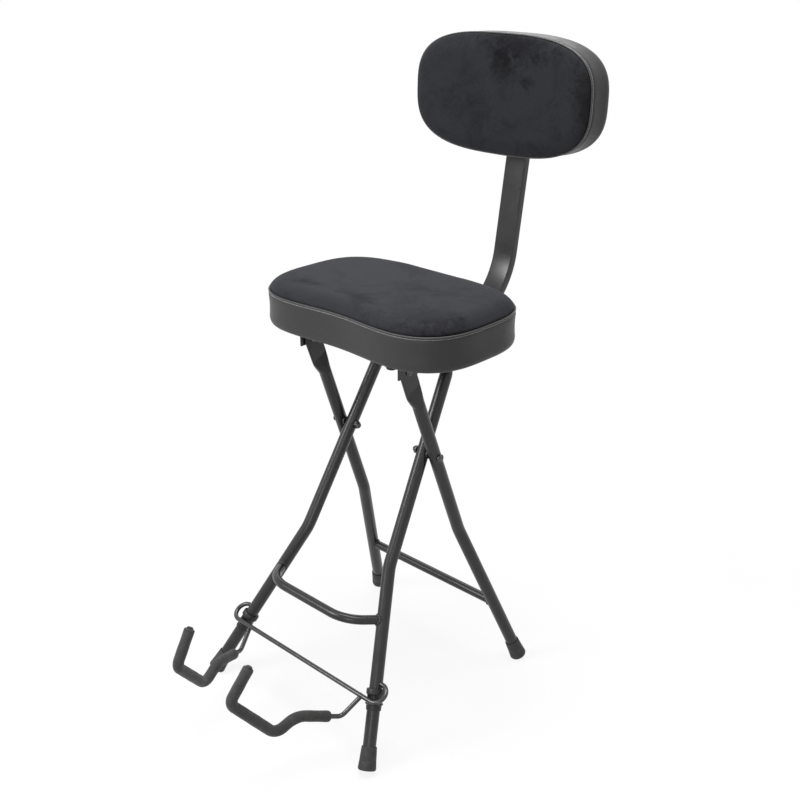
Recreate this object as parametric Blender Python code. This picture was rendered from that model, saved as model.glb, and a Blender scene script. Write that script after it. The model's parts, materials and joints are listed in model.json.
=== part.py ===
"""Folding guitar stool with a padded backrest, a footrest and a swing-out guitar cradle.

Metres, +Z up. The stool faces -Y and is alike on both sides of the plane X = 0. Places are worked out from
the scissor pivot, which lies at Y = 0 while the pieces are made. At the end the whole stool is shifted along
Y, so that the centre of its box stands over the origin.
"""

import math

import bmesh
import bpy
from mathutils import Matrix, Vector

# Fits
CLEAR = 0.0003
OVERRUN = 0.003

# Tubes, bars and wire
LEG_OD = 0.022
BAR_OD = 0.016
WIRE_OD = 0.008

# Scissor frames, as angles from the vertical and heights over the floor
PIVOT_HEIGHT = 0.4554
FRONT_PIVOT_X = 0.0868
FRONT_LEAN = math.radians(29.64)
FRONT_UPPER_SPLAY = math.radians(4.66)
FRONT_LOWER_SPLAY = math.radians(19.44)
FRONT_KNEE_HEIGHT = 0.2809
FRONT_TOP_BEND = 0.024
REAR_LEAN = math.radians(19.83)
REAR_UPPER_SPLAY = math.radians(1.57)
REAR_LOWER_SPLAY = math.radians(12.73)
REAR_KNEE_HEIGHT = 0.294
KNEE_BEND = 0.09
REAR_BAR_HEIGHT = 0.1308

# Scissor bolts
BOLT_OD = 0.008
SPACER_OD = 0.016
SPACER_THICK = 0.0033
BOLT_HEAD_OD = 0.015
BOLT_HEAD_THICK = 0.0038
NUT_OD = 0.0144
NUT_THICK = 0.0062
NUT_DOME = 0.0038

# Feet
FOOT_LENGTH = 0.038
FOOT_TOP_OD = 0.0255
FOOT_SOLE_OD = 0.0305
FOOT_SOLE = 0.005
FOOT_RIM = 0.003
FOOT_FLAT = 0.0022

# Footrest
FOOTREST_HEIGHT = 0.217
FOOTREST_REACH = 0.0549
FOOTREST_WELD_DROP = 0.0094
FOOTREST_CORNER_X = 0.091
FOOTREST_BEND = 0.0633

# Guitar cradle
CRADLE_HINGE_HEIGHT = 0.124
CRADLE_LOOP_OD = 0.0333
CRADLE_LOOP_PAST_LEG = 0.0141
CRADLE_TAIL = 0.019
CRADLE_HOLE_PAST_TAIL = 0.002
CRADLE_WELD_INSIDE_LEG = 0.0128
CRADLE_REACH = 0.2013
CRADLE_RISE = 0.1062
CRADLE_WIRE_BEND = 0.014
CRADLE_FOAM_BEND = 0.015
FOAM_OD = 0.0185
FOAM_SKIN = 0.004
ARM_OVERRUN_SHARE = 0.75
# Bends of an arm from its weld to its tip, as shares of the weld's X, of the reach and of the rise
ARM_BEND_SHARES = (
    (0.913, 0.146, -0.327),
    (0.861, 0.242, -0.256),
    (0.712, 0.500, -0.070),
    (0.646, 0.685, -0.245),
    (0.474, 1.020, 0.553),
    (0.523, 0.848, 1.010),
)

# Collars that the cradle wire rests on
COLLAR_OD = 0.030
COLLAR_GROOVE_OD = 0.025
COLLAR_TOP = 0.0115
COLLAR_BOTTOM = 0.0465
COLLAR_GROOVE = 0.0145
COLLAR_EDGE = 0.0015

# Seat
SEAT_UNDERSIDE = 0.650
SEAT_HALF_LENGTH = 0.2125
SEAT_FRONT_DEPTH = 0.152
SEAT_REAR_DEPTH = 0.149
SEAT_WAIST = 0.040
SEAT_WAIST_HALF = 0.160
SEAT_FRONT_SQUARENESS = 2.75
SEAT_REAR_SQUARENESS = 3.4
SEAT_BAND = 0.0582
SEAT_CROWN = 0.0150
SEAT_EDGE = 0.006
SEAT_BOARD_THICK = 0.012
BAND_WALL = 0.005
BAND_DRAW = 0.0022
SEAM_GROOVE = 0.0014

# Seat hinge
HINGE_DROP = 0.0225
HINGE_FRONT = 0.024
HINGE_REAR = 0.042
HINGE_PLATE = 0.0025
HINGE_DEPTH = 0.0317
HINGE_FLANGE = 0.022
FLAT_THICK = 0.004
FLAT_WIDTH = 0.034
FLAT_OFFSET = 0.0012
FLAT_FORWARD = 0.002
FLAT_BELOW = 0.0395
FLAT_NECK = 0.028
FLAT_END = 0.0122
RIVET_OD = 0.008
RIVET_HEAD_OD = 0.0145
RIVET_HEAD_THICK = 0.0028

# Backrest post, its sleeve and its clamp
POST_WIDTH = 0.043
POST_THICK = 0.016
POST_EDGE = 0.002
POST_DROP = 0.038
POST_LEAN = math.radians(9.3)
POST_BEND = 0.1345
POST_NECK_BEND = 0.060
POST_INSIDE_SLEEVE = 0.013
POST_ABOVE_NECK = 0.085
POST_CAP = 0.0025
SLEEVE_WALL = 0.002
SLEEVE_BEFORE_BAR = 0.1018
SLEEVE_BEHIND_BAR = 0.0632
RAIL_FLANGE = 0.0125
RAIL_END = 0.020
SADDLE_X = 0.048
SADDLE_WIDTH = 0.020
SADDLE_THICK = 0.003
SADDLE_FLANGE = 0.026
SADDLE_FRONT = 0.015
SADDLE_LIP = 0.016
STRIP_BEND = 0.004
CLAMP_BEFORE_BAR = 0.0619
CLAMP_NUT_OD = 0.0144
CLAMP_NUT_THICK = 0.0065
CLAMP_NECK = 0.003
KNOB_OD = 0.021
KNOB_HEIGHT = 0.0175
KNOB_ROUND = 0.005

# Backrest
BACK_FACE_Y = 0.2845
BACK_CENTRE_HEIGHT = 1.0042
BACK_LEAN = math.radians(2.0)
BACK_HALF_LENGTH = 0.190
BACK_HALF_HEIGHT = 0.101
BACK_SQUARENESS = 2.95
BACK_BAND = 0.0525
BACK_CROWN = 0.010
BACK_BOARD_THICK = 0.009
BACK_PLATE_THICK = 0.004
BACK_PLATE_WIDTH = 0.110
BACK_PLATE_HEIGHT = 0.080

# Wood screws
SCREW_OD = 0.004
SCREW_HEAD_OD = 0.0085
SCREW_HEAD = 0.0024
SCREW_BITE = 0.0075

# Counts and shares
TUBE_SIDES = 16
WIRE_SIDES = 12
CORE_SIDES = 8
FASTENER_SIDES = 12
SCREW_SIDES = 8
BEND_STEPS = 6
KNEE_STEPS = 2
CUSHION_SIDES = 48
CROWN_SHARES = ((0.02, 0.38), (0.06, 0.72), (0.13, 0.90), (0.28, 0.97), (0.56, 1.0))

LEG_RADIUS = LEG_OD / 2
WIRE_RADIUS = WIRE_OD / 2
BAR_RADIUS = BAR_OD / 2
X_AXIS = Vector((1, 0, 0))
Y_AXIS = Vector((0, 1, 0))
Z_AXIS = Vector((0, 0, 1))
SIDES = (("right", 1), ("left", -1))


def clear_scene():
    """Removes every object of the scene."""
    for obj in list(bpy.data.objects):
        bpy.data.objects.remove(obj, do_unlink=True)


def finish(name, colour, roughness, metallic=0.0):
    """A Principled material."""
    material = bpy.data.materials.new(name)
    material.use_nodes = True
    shader = material.node_tree.nodes["Principled BSDF"]
    shader.inputs["Base Color"].default_value = (*colour, 1)
    shader.inputs["Roughness"].default_value = roughness
    shader.inputs["Metallic"].default_value = metallic
    return material


def axis_empty(name, place, parent):
    """An empty on a joint's axis. Its place is given in the stool's own coordinates."""
    empty = bpy.data.objects.new(name, None)
    bpy.context.scene.collection.objects.link(empty)
    empty.location = place
    empty["place"] = place
    if parent:
        empty.parent = parent
        empty.location = Vector(place) - Vector(parent["place"])
    return empty


def add_object(name, mesh, parent, material):
    """Links a mesh, made in the stool's coordinates, under an empty on its joint's axis."""
    obj = bpy.data.objects.new(name, mesh)
    bpy.context.scene.collection.objects.link(obj)
    place = Vector(parent["place"])
    mesh.transform(Matrix.Translation(-place))
    obj.parent = parent
    mesh.materials.append(material)
    mesh.shade_smooth()
    mesh.set_sharp_from_angle(angle=math.radians(35))
    return obj


def loft_mesh(name, rings, closed=False, floor=None):
    """Rings of points joined by faces. The end rings are capped, or joined to each other if closed.

    A floor is a height below which the shape is cut away and closed flat.
    """
    bm = bmesh.new()
    rows = [[bm.verts.new(point) for point in ring] for ring in rings]
    pairs = list(zip(rows, rows[1:]))
    if closed:
        pairs.append((rows[-1], rows[0]))
    for low, high in pairs:
        for i in range(len(low)):
            j = (i + 1) % len(low)
            bm.faces.new((low[i], low[j], high[j], high[i]))
    if not closed:
        bm.faces.new(rows[0])
        bm.faces.new(rows[-1])
    if floor is not None:
        geometry = bm.verts[:] + bm.edges[:] + bm.faces[:]
        cut = bmesh.ops.bisect_plane(
            bm, geom=geometry, plane_co=(0, 0, floor), plane_no=(0, 0, -1), clear_outer=True
        )
        rim = [item for item in cut["geom_cut"] if isinstance(item, bmesh.types.BMEdge)]
        bmesh.ops.contextual_create(bm, geom=rim)
    bmesh.ops.recalc_face_normals(bm, faces=bm.faces)
    mesh = bpy.data.meshes.new(name)
    bm.to_mesh(mesh)
    bm.free()
    return mesh


def circle(radius, sides):
    """Points of a circle."""
    turns = [2 * math.pi * i / sides for i in range(sides)]
    return [(radius * math.cos(t), radius * math.sin(t)) for t in turns]


def superellipse(half_a, half_b, squareness, sides):
    """Points with |a / half_a| ** squareness + |b / half_b| ** squareness = 1."""
    points = []
    for i in range(sides):
        t = 2 * math.pi * i / sides
        c, s = math.cos(t), math.sin(t)
        a = math.copysign(abs(c) ** (2 / squareness), c)
        b = math.copysign(abs(s) ** (2 / squareness), s)
        points.append((half_a * a, half_b * b))
    return points


def hexagon(across_corners):
    """Twelve points on a hexagon: its corners and the middles of its sides."""
    points = []
    for i in range(12):
        t = math.pi * i / 6
        radius = across_corners / 2 * (math.cos(math.pi / 6) if i % 2 else 1)
        points.append((radius * math.cos(t), radius * math.sin(t)))
    return points


def rounded_rectangle(width, height, edge, steps=2):
    """A rectangle with its corners rounded by arcs."""
    points = []
    for corner in range(4):
        start = corner * math.pi / 2
        a = (width / 2 - edge) * (1 if corner in (0, 3) else -1)
        b = (height / 2 - edge) * (1 if corner in (0, 1) else -1)
        for i in range(steps + 1):
            t = start + math.pi / 2 * i / steps
            points.append((a + edge * math.cos(t), b + edge * math.sin(t)))
    return points


def rectangle(width, height):
    """The four corners of a rectangle."""
    a, b = width / 2, height / 2
    return [(a, b), (-a, b), (-a, -b), (a, -b)]


def rounded(corners, bend, steps=BEND_STEPS):
    """A path along straight runs, with each inner corner turned into an arc of radius bend."""
    path = [Vector(corners[0])]
    for before, corner, after in zip(corners, corners[1:], corners[2:]):
        corner = Vector(corner)
        back = (Vector(before) - corner).normalized()
        ahead = (Vector(after) - corner).normalized()
        half = back.angle(ahead) / 2
        inward = (back + ahead).normalized()
        centre = corner + inward * (bend / math.sin(half))
        first = corner + back * (bend / math.tan(half)) - centre
        last = corner + ahead * (bend / math.tan(half)) - centre
        turn = first.angle(last)
        for i in range(steps + 1):
            share = i / steps
            near, far = math.sin((1 - share) * turn), math.sin(share * turn)
            path.append(centre + (first * near + last * far) / math.sin(turn))
    path.append(Vector(corners[-1]))
    return path


def tangents(path):
    """The unit direction at each point of a path."""
    runs = [(b - a).normalized() for a, b in zip(path, path[1:])]
    inner = [(a + b).normalized() for a, b in zip(runs, runs[1:])]
    return [runs[0], *inner, runs[-1]]


def sweep_rings(path, outlines, side):
    """Rings across a path. Each outline's first coordinate lies along side, made square to the path."""
    rings = []
    for point, ahead, outline in zip(path, tangents(path), outlines):
        across = (side - ahead * side.dot(ahead)).normalized()
        other = ahead.cross(across)
        rings.append([point + across * a + other * b for a, b in outline])
        side = across
    return rings


def rod(name, path, radius, sides, parent, material, side=Z_AXIS):
    """A round bar along a path, with flat ends."""
    rings = sweep_rings(path, [circle(radius, sides)] * len(path), side)
    return add_object(name, loft_mesh(name, rings), parent, material)


def strip(name, corners, width, thick, side, parent, material):
    """A bent strip of plate, whose width lies along side."""
    path = rounded(corners, STRIP_BEND, steps=3)
    rings = sweep_rings(path, [rectangle(width, thick)] * len(path), side)
    return add_object(name, loft_mesh(name, rings), parent, material)


def turned_rings(base, axis, profile, sides):
    """Rings round an axis, one for each (radius, height) of a profile."""
    across = axis.orthogonal().normalized()
    other = axis.cross(across)
    rings = []
    for radius, height in profile:
        centre = base + axis * height
        rings.append([centre + across * a + other * b for a, b in circle(radius, sides)])
    return rings


def turned(name, base, axis, profile, parent, material, sides=FASTENER_SIDES, closed=False, floor=None):
    """A turned piece. A closed profile runs round the wall of a piece with a bore."""
    rings = turned_rings(base, axis.normalized(), profile, sides)
    return add_object(name, loft_mesh(name, rings, closed, floor), parent, material)


def cutter(name, start, end, radius, parent, sides=TUBE_SIDES):
    """A round cutter between two points."""
    span = end - start
    rings = turned_rings(start, span.normalized(), ((radius, 0), (radius, span.length)), sides)
    obj = add_object(name, loft_mesh(name, rings), parent, bpy.data.materials["cutter"])
    obj.hide_render = True
    obj.display_type = "WIRE"
    return obj


def cut(obj, *tools):
    """Cuts each tool out of an object."""
    for tool in tools:
        modifier = obj.modifiers.new(f"cut_{tool.name}", "BOOLEAN")
        modifier.operation = "DIFFERENCE"
        modifier.solver = "EXACT"
        modifier.object = tool


def front_axis(height, side=1):
    """A point on a front leg's axis."""
    lower = min(height, FRONT_KNEE_HEIGHT)
    upper = max(height, FRONT_KNEE_HEIGHT)
    x = FRONT_PIVOT_X + (PIVOT_HEIGHT - upper) * math.tan(FRONT_UPPER_SPLAY)
    x += (FRONT_KNEE_HEIGHT - lower) * math.tan(FRONT_LOWER_SPLAY)
    return Vector((side * x, (height - PIVOT_HEIGHT) * math.tan(FRONT_LEAN), height))


def rear_axis(height, side=1):
    """A point on a rear leg's axis."""
    lower = min(height, REAR_KNEE_HEIGHT)
    upper = max(height, REAR_KNEE_HEIGHT)
    x = REAR_PIVOT_X + (PIVOT_HEIGHT - upper) * math.tan(REAR_UPPER_SPLAY)
    x += (REAR_KNEE_HEIGHT - lower) * math.tan(REAR_LOWER_SPLAY)
    return Vector((side * x, (PIVOT_HEIGHT - height) * math.tan(REAR_LEAN), height))


def sole_height(axis_point):
    """The height of the middle of a foot's sole, whose lowest edge the floor cuts flat."""
    direction = (axis_point(LEG_OD) - axis_point(0)).normalized()
    tilt = math.sqrt(1 - direction.z**2)
    return FOOT_SOLE_OD / 2 * tilt - FOOT_FLAT


def leg_end_height(axis_point):
    """The height of a leg tube's end, which stands on the sole of its foot."""
    direction = (axis_point(LEG_OD) - axis_point(0)).normalized()
    return sole_height(axis_point) + (FOOT_SOLE + CLEAR) * direction.z



def face_reach(splay, across):
    """From a splayed tube's axis to a flat face that a bolt holds against it."""
    return LEG_RADIUS / math.cos(splay) + math.tan(splay) * across / 2 + CLEAR


# Places worked out from the sizes
FRONT_FACE = face_reach(FRONT_UPPER_SPLAY, SPACER_OD)
REAR_FACE = face_reach(REAR_UPPER_SPLAY, SPACER_OD)
REAR_PIVOT_X = FRONT_PIVOT_X + FRONT_FACE + SPACER_THICK + REAR_FACE
HINGE_HEIGHT = SEAT_UNDERSIDE - HINGE_DROP
HINGE_POINT = Vector((0, rear_axis(HINGE_HEIGHT).y - FLAT_FORWARD, HINGE_HEIGHT))
FLAT_X = rear_axis(HINGE_HEIGHT).x + FLAT_OFFSET
POST_Z = SEAT_UNDERSIDE - POST_DROP
SLEEVE_HALF_HEIGHT = POST_THICK / 2 + CLEAR + SLEEVE_WALL
SLEEVE_HALF_WIDTH = POST_WIDTH / 2 + CLEAR + SLEEVE_WALL
TOP_BAR_HEIGHT = POST_Z - SLEEVE_HALF_HEIGHT - CLEAR - LEG_RADIUS
TOP_BAR_Y = front_axis(TOP_BAR_HEIGHT).y
SLEEVE_FRONT = TOP_BAR_Y - SLEEVE_BEFORE_BAR
SLEEVE_REAR = TOP_BAR_Y + SLEEVE_BEHIND_BAR
POST_FRONT = SLEEVE_FRONT + POST_INSIDE_SLEEVE
CLAMP_POINT = Vector((0, TOP_BAR_Y - CLAMP_BEFORE_BAR, POST_Z - SLEEVE_HALF_HEIGHT))
CRADLE_HINGE = front_axis(CRADLE_HINGE_HEIGHT)
CRADLE_LOOP_X = CRADLE_HINGE.x + CRADLE_LOOP_PAST_LEG
CRADLE_WELD_X = CRADLE_HINGE.x - CRADLE_WELD_INSIDE_LEG


def cradle_rod_offset():
    """From the cradle's hinge axis to its cross wire, which rests in the collars' grooves."""
    spacing = COLLAR_GROOVE_OD / 2 + CLEAR + WIRE_RADIUS
    angle = FRONT_LEAN + math.asin(spacing / CRADLE_LOOP_OD)
    return Vector((0, -math.sin(angle), -math.cos(angle))) * CRADLE_LOOP_OD


def make_front_legs(parent, material):
    """Two legs, each a bent tube from its foot to the end of its top bend, with the bolt and wire holes."""
    bend_reach = FRONT_TOP_BEND * math.tan(math.radians(90) / 2)
    for word, side in SIDES:
        end = front_axis(leg_end_height(front_axis), side)
        knee = front_axis(FRONT_KNEE_HEIGHT, side)
        corner = front_axis(TOP_BAR_HEIGHT, side)
        inner = corner - X_AXIS * side * (bend_reach + OVERRUN)
        lower = rounded((end, knee, (knee + corner) / 2), KNEE_BEND, KNEE_STEPS)
        upper = rounded(((knee + corner) / 2, corner, inner), FRONT_TOP_BEND)
        path = lower[:-1] + upper[1:]
        leg = rod(f"front_leg_{word}", path, LEG_RADIUS, TUBE_SIDES, parent, material, X_AXIS)
        cut(leg, pivot_hole(word, side, parent), cradle_hole(word, side, parent))


def pivot_hole(word, side, parent):
    """The bolt's hole through one side's two tubes."""
    start = Vector((side * (FRONT_PIVOT_X - LEG_OD), 0, PIVOT_HEIGHT))
    end = Vector((side * (REAR_PIVOT_X + LEG_OD), 0, PIVOT_HEIGHT))
    return cutter(f"pivot_hole_{word}", start, end, BOLT_OD / 2 + CLEAR, parent)


def cradle_hole(word, side, parent):
    """The hole from outside a leg that takes the end of the cradle's wire."""
    inner = CRADLE_LOOP_X - CRADLE_TAIL - CRADLE_HOLE_PAST_TAIL
    hinge = Vector((0, CRADLE_HINGE.y, CRADLE_HINGE.z))
    start = hinge + X_AXIS * side * inner
    end = hinge + X_AXIS * side * (CRADLE_HINGE.x + LEG_OD)
    return cutter(f"cradle_hole_{word}", start, end, WIRE_RADIUS + CLEAR, parent)


def make_top_bar(parent, material):
    """The straight bar between the front legs' top bends, which the seat rests on."""
    corner = front_axis(TOP_BAR_HEIGHT)
    half = corner.x - FRONT_TOP_BEND - OVERRUN - CLEAR
    ends = [Vector((x, corner.y, corner.z)) for x in (-half, half)]
    rod("front_top_bar", ends, LEG_RADIUS, TUBE_SIDES, parent, material)


def coping(name, low, high, parent):
    """A cutter round a leg's axis, which copes a bar's end to the leg with the weld's gap."""
    return cutter(name, low, high, LEG_RADIUS + CLEAR, parent)


def make_footrest(parent, material):
    """A bar bent to a U, with its ends coped to the fronts of the front legs."""
    weld = front_axis(FOOTREST_HEIGHT - FOOTREST_WELD_DROP)
    bar_y = weld.y - FOOTREST_REACH
    corners = [
        (weld.x, weld.y, weld.z),
        (FOOTREST_CORNER_X, bar_y, FOOTREST_HEIGHT),
        (-FOOTREST_CORNER_X, bar_y, FOOTREST_HEIGHT),
        (-weld.x, weld.y, weld.z),
    ]
    path = rounded(corners, FOOTREST_BEND)
    bar = rod("footrest", path, BAR_RADIUS, WIRE_SIDES, parent, material)
    for word, side in SIDES:
        low = front_axis(weld.z - LEG_OD - BAR_OD, side)
        high = front_axis(weld.z + LEG_OD + BAR_OD, side)
        cut(bar, coping(f"footrest_coping_{word}", low, high, parent))


def make_rear_bar(parent, material):
    """The straight bar between the rear legs, coped to them."""
    end = rear_axis(REAR_BAR_HEIGHT)
    path = [Vector((x, end.y, end.z)) for x in (-end.x, end.x)]
    bar = rod("rear_cross_bar", path, BAR_RADIUS, WIRE_SIDES, parent, material)
    for word, side in SIDES:
        low = rear_axis(end.z - LEG_OD - BAR_OD, side)
        high = rear_axis(end.z + LEG_OD + BAR_OD, side)
        cut(bar, coping(f"rear_bar_coping_{word}", low, high, parent))


def make_feet(kind, axis_point, parent, material):
    """Rubber boots, square to their legs, each with a socket and a sole that is cut flat on the floor."""
    socket = LEG_RADIUS + CLEAR
    for word, side in SIDES:
        sole = axis_point(sole_height(axis_point), side)
        along = (axis_point(LEG_OD, side) - axis_point(0, side)).normalized()
        profile = (
            (socket, FOOT_SOLE),
            (socket, FOOT_LENGTH),
            (FOOT_TOP_OD / 2 - FOOT_RIM / 4, FOOT_LENGTH),
            (FOOT_TOP_OD / 2, FOOT_LENGTH - FOOT_RIM / 2),
            (FOOT_TOP_OD / 2, FOOT_LENGTH - FOOT_RIM),
            (FOOT_SOLE_OD / 2, FOOT_RIM),
            (FOOT_SOLE_OD / 2, 0),
        )
        turned(f"{kind}_foot_{word}", sole, along, profile, parent, material, sides=TUBE_SIDES, floor=0)


def make_collars(parent, material):
    """Plastic collars on the front legs, with a groove that the cradle's cross wire rests in."""
    bore = LEG_RADIUS + CLEAR
    offset = cradle_rod_offset()
    for word, side in SIDES:
        hinge = front_axis(CRADLE_HINGE_HEIGHT, side)
        down = (front_axis(0, side) - hinge).normalized()
        flat_down = Vector((0, down.y, down.z)).normalized()
        middle = offset.dot(flat_down) * flat_down.dot(down)
        groove_top = middle - COLLAR_GROOVE / 2
        groove_end = middle + COLLAR_GROOVE / 2
        profile = (
            (bore, COLLAR_TOP),
            (COLLAR_OD / 2 - COLLAR_EDGE, COLLAR_TOP),
            (COLLAR_OD / 2, COLLAR_TOP + COLLAR_EDGE),
            (COLLAR_OD / 2, groove_top - COLLAR_EDGE),
            (COLLAR_GROOVE_OD / 2, groove_top),
            (COLLAR_GROOVE_OD / 2, groove_end),
            (COLLAR_OD / 2, groove_end + COLLAR_EDGE),
            (COLLAR_GROOVE_OD / 2, COLLAR_BOTTOM),
            (bore, COLLAR_BOTTOM),
        )
        turned(f"leg_collar_{word}", hinge, down, profile, parent, material, sides=TUBE_SIDES, closed=True)


def make_pivot_fasteners(parent, material, plastic):
    """A bolt, a spacer and a domed nut on each side of the scissor."""
    inner = FRONT_PIVOT_X - face_reach(FRONT_UPPER_SPLAY, NUT_OD)
    outer = REAR_PIVOT_X + face_reach(REAR_UPPER_SPLAY, BOLT_HEAD_OD)
    shank_end = inner - NUT_THICK
    for word, side in SIDES:
        out = X_AXIS * side
        base = Vector((0, 0, PIVOT_HEIGHT))
        bolt = (
            (BOLT_OD / 2, shank_end),
            (BOLT_OD / 2, outer),
            (BOLT_HEAD_OD / 2, outer),
            (BOLT_HEAD_OD / 2, outer + BOLT_HEAD_THICK / 3),
            (BOLT_HEAD_OD / 3, outer + BOLT_HEAD_THICK * 0.85),
            (BOLT_HEAD_OD / 8, outer + BOLT_HEAD_THICK),
        )
        turned(f"pivot_bolt_{word}", base, out, bolt, parent, material)
        make_pivot_nut(word, base, out, inner, shank_end, parent, material)
        spacer_start = FRONT_PIVOT_X + FRONT_FACE
        spacer_end = REAR_PIVOT_X - REAR_FACE
        bore = BOLT_OD / 2 + CLEAR
        spacer = (
            (bore, spacer_start),
            (SPACER_OD / 2, spacer_start),
            (SPACER_OD / 2, spacer_end),
            (bore, spacer_end),
        )
        turned(f"pivot_spacer_{word}", base, out, spacer, parent, plastic, closed=True)


def make_pivot_nut(word, base, out, face, shank_end, parent, material):
    """A hexagon nut with a domed end, blind on its inner side."""
    across = out.orthogonal().normalized()
    other = out.cross(across)
    bore = circle(BOLT_OD / 2 + CLEAR, 12)
    stations = (
        (bore, shank_end - CLEAR),
        (bore, face),
        (hexagon(NUT_OD), face),
        (hexagon(NUT_OD), face - NUT_THICK * 0.75),
        (circle(NUT_OD * 0.40, 12), face - NUT_THICK),
        (circle(NUT_OD * 0.30, 12), face - NUT_THICK - NUT_DOME * 0.6),
        (circle(NUT_OD * 0.12, 12), face - NUT_THICK - NUT_DOME),
    )
    rings = [[base + out * x + across * a + other * b for a, b in outline] for outline, x in stations]
    name = f"pivot_nut_{word}"
    add_object(name, loft_mesh(name, rings), parent, material)


def make_rear_legs(parent, material):
    """Two tubes, each bent at its knee and flattened at its top, with the eye for the seat's hinge rivet."""
    for word, side in SIDES:
        end = rear_axis(leg_end_height(rear_axis), side)
        knee = rear_axis(REAR_KNEE_HEIGHT, side)
        eye = Vector((side * FLAT_X, HINGE_POINT.y, HINGE_POINT.z))
        along = (rear_axis(HINGE_HEIGHT) - rear_axis(PIVOT_HEIGHT)).normalized()
        along = Vector((0, along.y, along.z)).normalized()
        neck = rear_axis(HINGE_HEIGHT - FLAT_BELOW - FLAT_NECK, side)
        path = rounded((end, knee, neck), KNEE_BEND, KNEE_STEPS)
        outlines = [circle(LEG_RADIUS, TUBE_SIDES)] * len(path)
        flat_start = eye - along * FLAT_BELOW
        for share, squareness in ((0.35, 2.2), (0.7, 3.0)):
            half = LEG_RADIUS + (FLAT_THICK / 2 - LEG_RADIUS) * share
            wide = LEG_RADIUS + (FLAT_WIDTH / 2 - LEG_RADIUS) * share
            path.append(neck.lerp(flat_start, share))
            outlines.append(superellipse(half, wide, squareness, TUBE_SIDES))
        for reach in (-FLAT_BELOW, 0, FLAT_END * 0.5, FLAT_END * 0.85, FLAT_END):
            wide = math.sqrt((FLAT_WIDTH / 2) ** 2 - max(reach, 0) ** 2)
            path.append(eye + along * reach)
            outlines.append(superellipse(FLAT_THICK / 2, wide, 6.0, TUBE_SIDES))
        name = f"rear_leg_{word}"
        leg = add_object(name, loft_mesh(name, sweep_rings(path, outlines, X_AXIS)), parent, material)
        eye_start = eye - X_AXIS * side * LEG_OD
        eye_end = eye + X_AXIS * side * LEG_OD
        eye_hole = cutter(f"eye_hole_{word}", eye_start, eye_end, RIVET_OD / 2 + CLEAR, parent)
        cut(leg, bpy.data.objects[f"pivot_hole_{word}"], eye_hole)


def seat_outline(inset):
    """The seat's outline, drawn in by inset: a superellipse, with a shallow waist along its front."""
    half = SEAT_HALF_LENGTH - inset
    points = []
    for a, b in superellipse(1, 1, SEAT_REAR_SQUARENESS, CUSHION_SIDES):
        if b < 0:
            break
        points.append((half * a, (SEAT_REAR_DEPTH - inset) * b))
    front = SEAT_FRONT_DEPTH - inset
    for a, b in superellipse(1, 1, SEAT_FRONT_SQUARENESS, CUSHION_SIDES)[len(points) :]:
        waist = SEAT_WAIST * front / SEAT_FRONT_DEPTH * math.exp(-((half * a / SEAT_WAIST_HALF) ** 2))
        points.append((half * a, front * b - waist * b))
    return points


def back_outline(inset):
    """The backrest's outline, drawn in by inset."""
    half_length = BACK_HALF_LENGTH - inset
    return superellipse(half_length, BACK_HALF_HEIGHT - inset, BACK_SQUARENESS, CUSHION_SIDES)


def cushion_rings(outline, band, crown, board, depth):
    """Rings from the board's pocket round the drawn-in band, over the sewn edge and up to the crown.

    Each ring is the outline drawn in by an inset, at a height over the underside.
    """
    pocket = BAND_WALL
    stations = [
        (pocket, board + CLEAR),
        (pocket, 0),
        (SEAT_EDGE / 2, 0),
        (SEAT_EDGE / 8, SEAT_EDGE / 2),
        (0, SEAT_EDGE * 1.5),
        (BAND_DRAW, band / 2),
        (0, band - SEAT_EDGE),
        (SEAM_GROOVE, band),
    ]
    stations += [(depth * inward, band + crown * up) for inward, up in CROWN_SHARES]
    return [[(a, b, height) for a, b in outline(inset)] for inset, height in stations]


def placed(rings, frame):
    """Rings of points moved by a matrix."""
    return [[frame @ Vector(point) for point in ring] for ring in rings]


def make_seat(parent, fabric, wood):
    """The seat's board and the cushion that wraps it."""
    frame = Matrix.Translation((0, 0, SEAT_UNDERSIDE))
    rings = cushion_rings(seat_outline, SEAT_BAND, SEAT_CROWN, SEAT_BOARD_THICK, SEAT_FRONT_DEPTH)
    add_object("seat_cushion", loft_mesh("seat_cushion", placed(rings, frame)), parent, fabric)
    outline = seat_outline(BAND_WALL + CLEAR)
    rings = [[(a, b, height) for a, b in outline] for height in (0, SEAT_BOARD_THICK)]
    return add_object("seat_board", loft_mesh("seat_board", placed(rings, frame)), parent, wood)


def screw(name, seat_point, along, grip, parent, material):
    """A round-head wood screw, and the cutter of its hole. It grips a plate, then bites into wood."""
    reach = grip + CLEAR + SCREW_BITE
    profile = (
        (SCREW_HEAD_OD / 4, -CLEAR - SCREW_HEAD),
        (SCREW_HEAD_OD / 2, -CLEAR - SCREW_HEAD / 2),
        (SCREW_HEAD_OD / 2, -CLEAR),
        (SCREW_OD / 2, -CLEAR),
        (SCREW_OD / 2, reach - SCREW_OD / 2),
        (SCREW_OD / 8, reach),
    )
    turned(name, seat_point, along, profile, parent, material, sides=SCREW_SIDES)
    end = seat_point + along * (reach + CLEAR)
    start = seat_point - along * CLEAR / 2
    return cutter(f"{name}_hole", start, end, SCREW_OD / 2 + CLEAR, parent, SCREW_SIDES)


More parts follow.
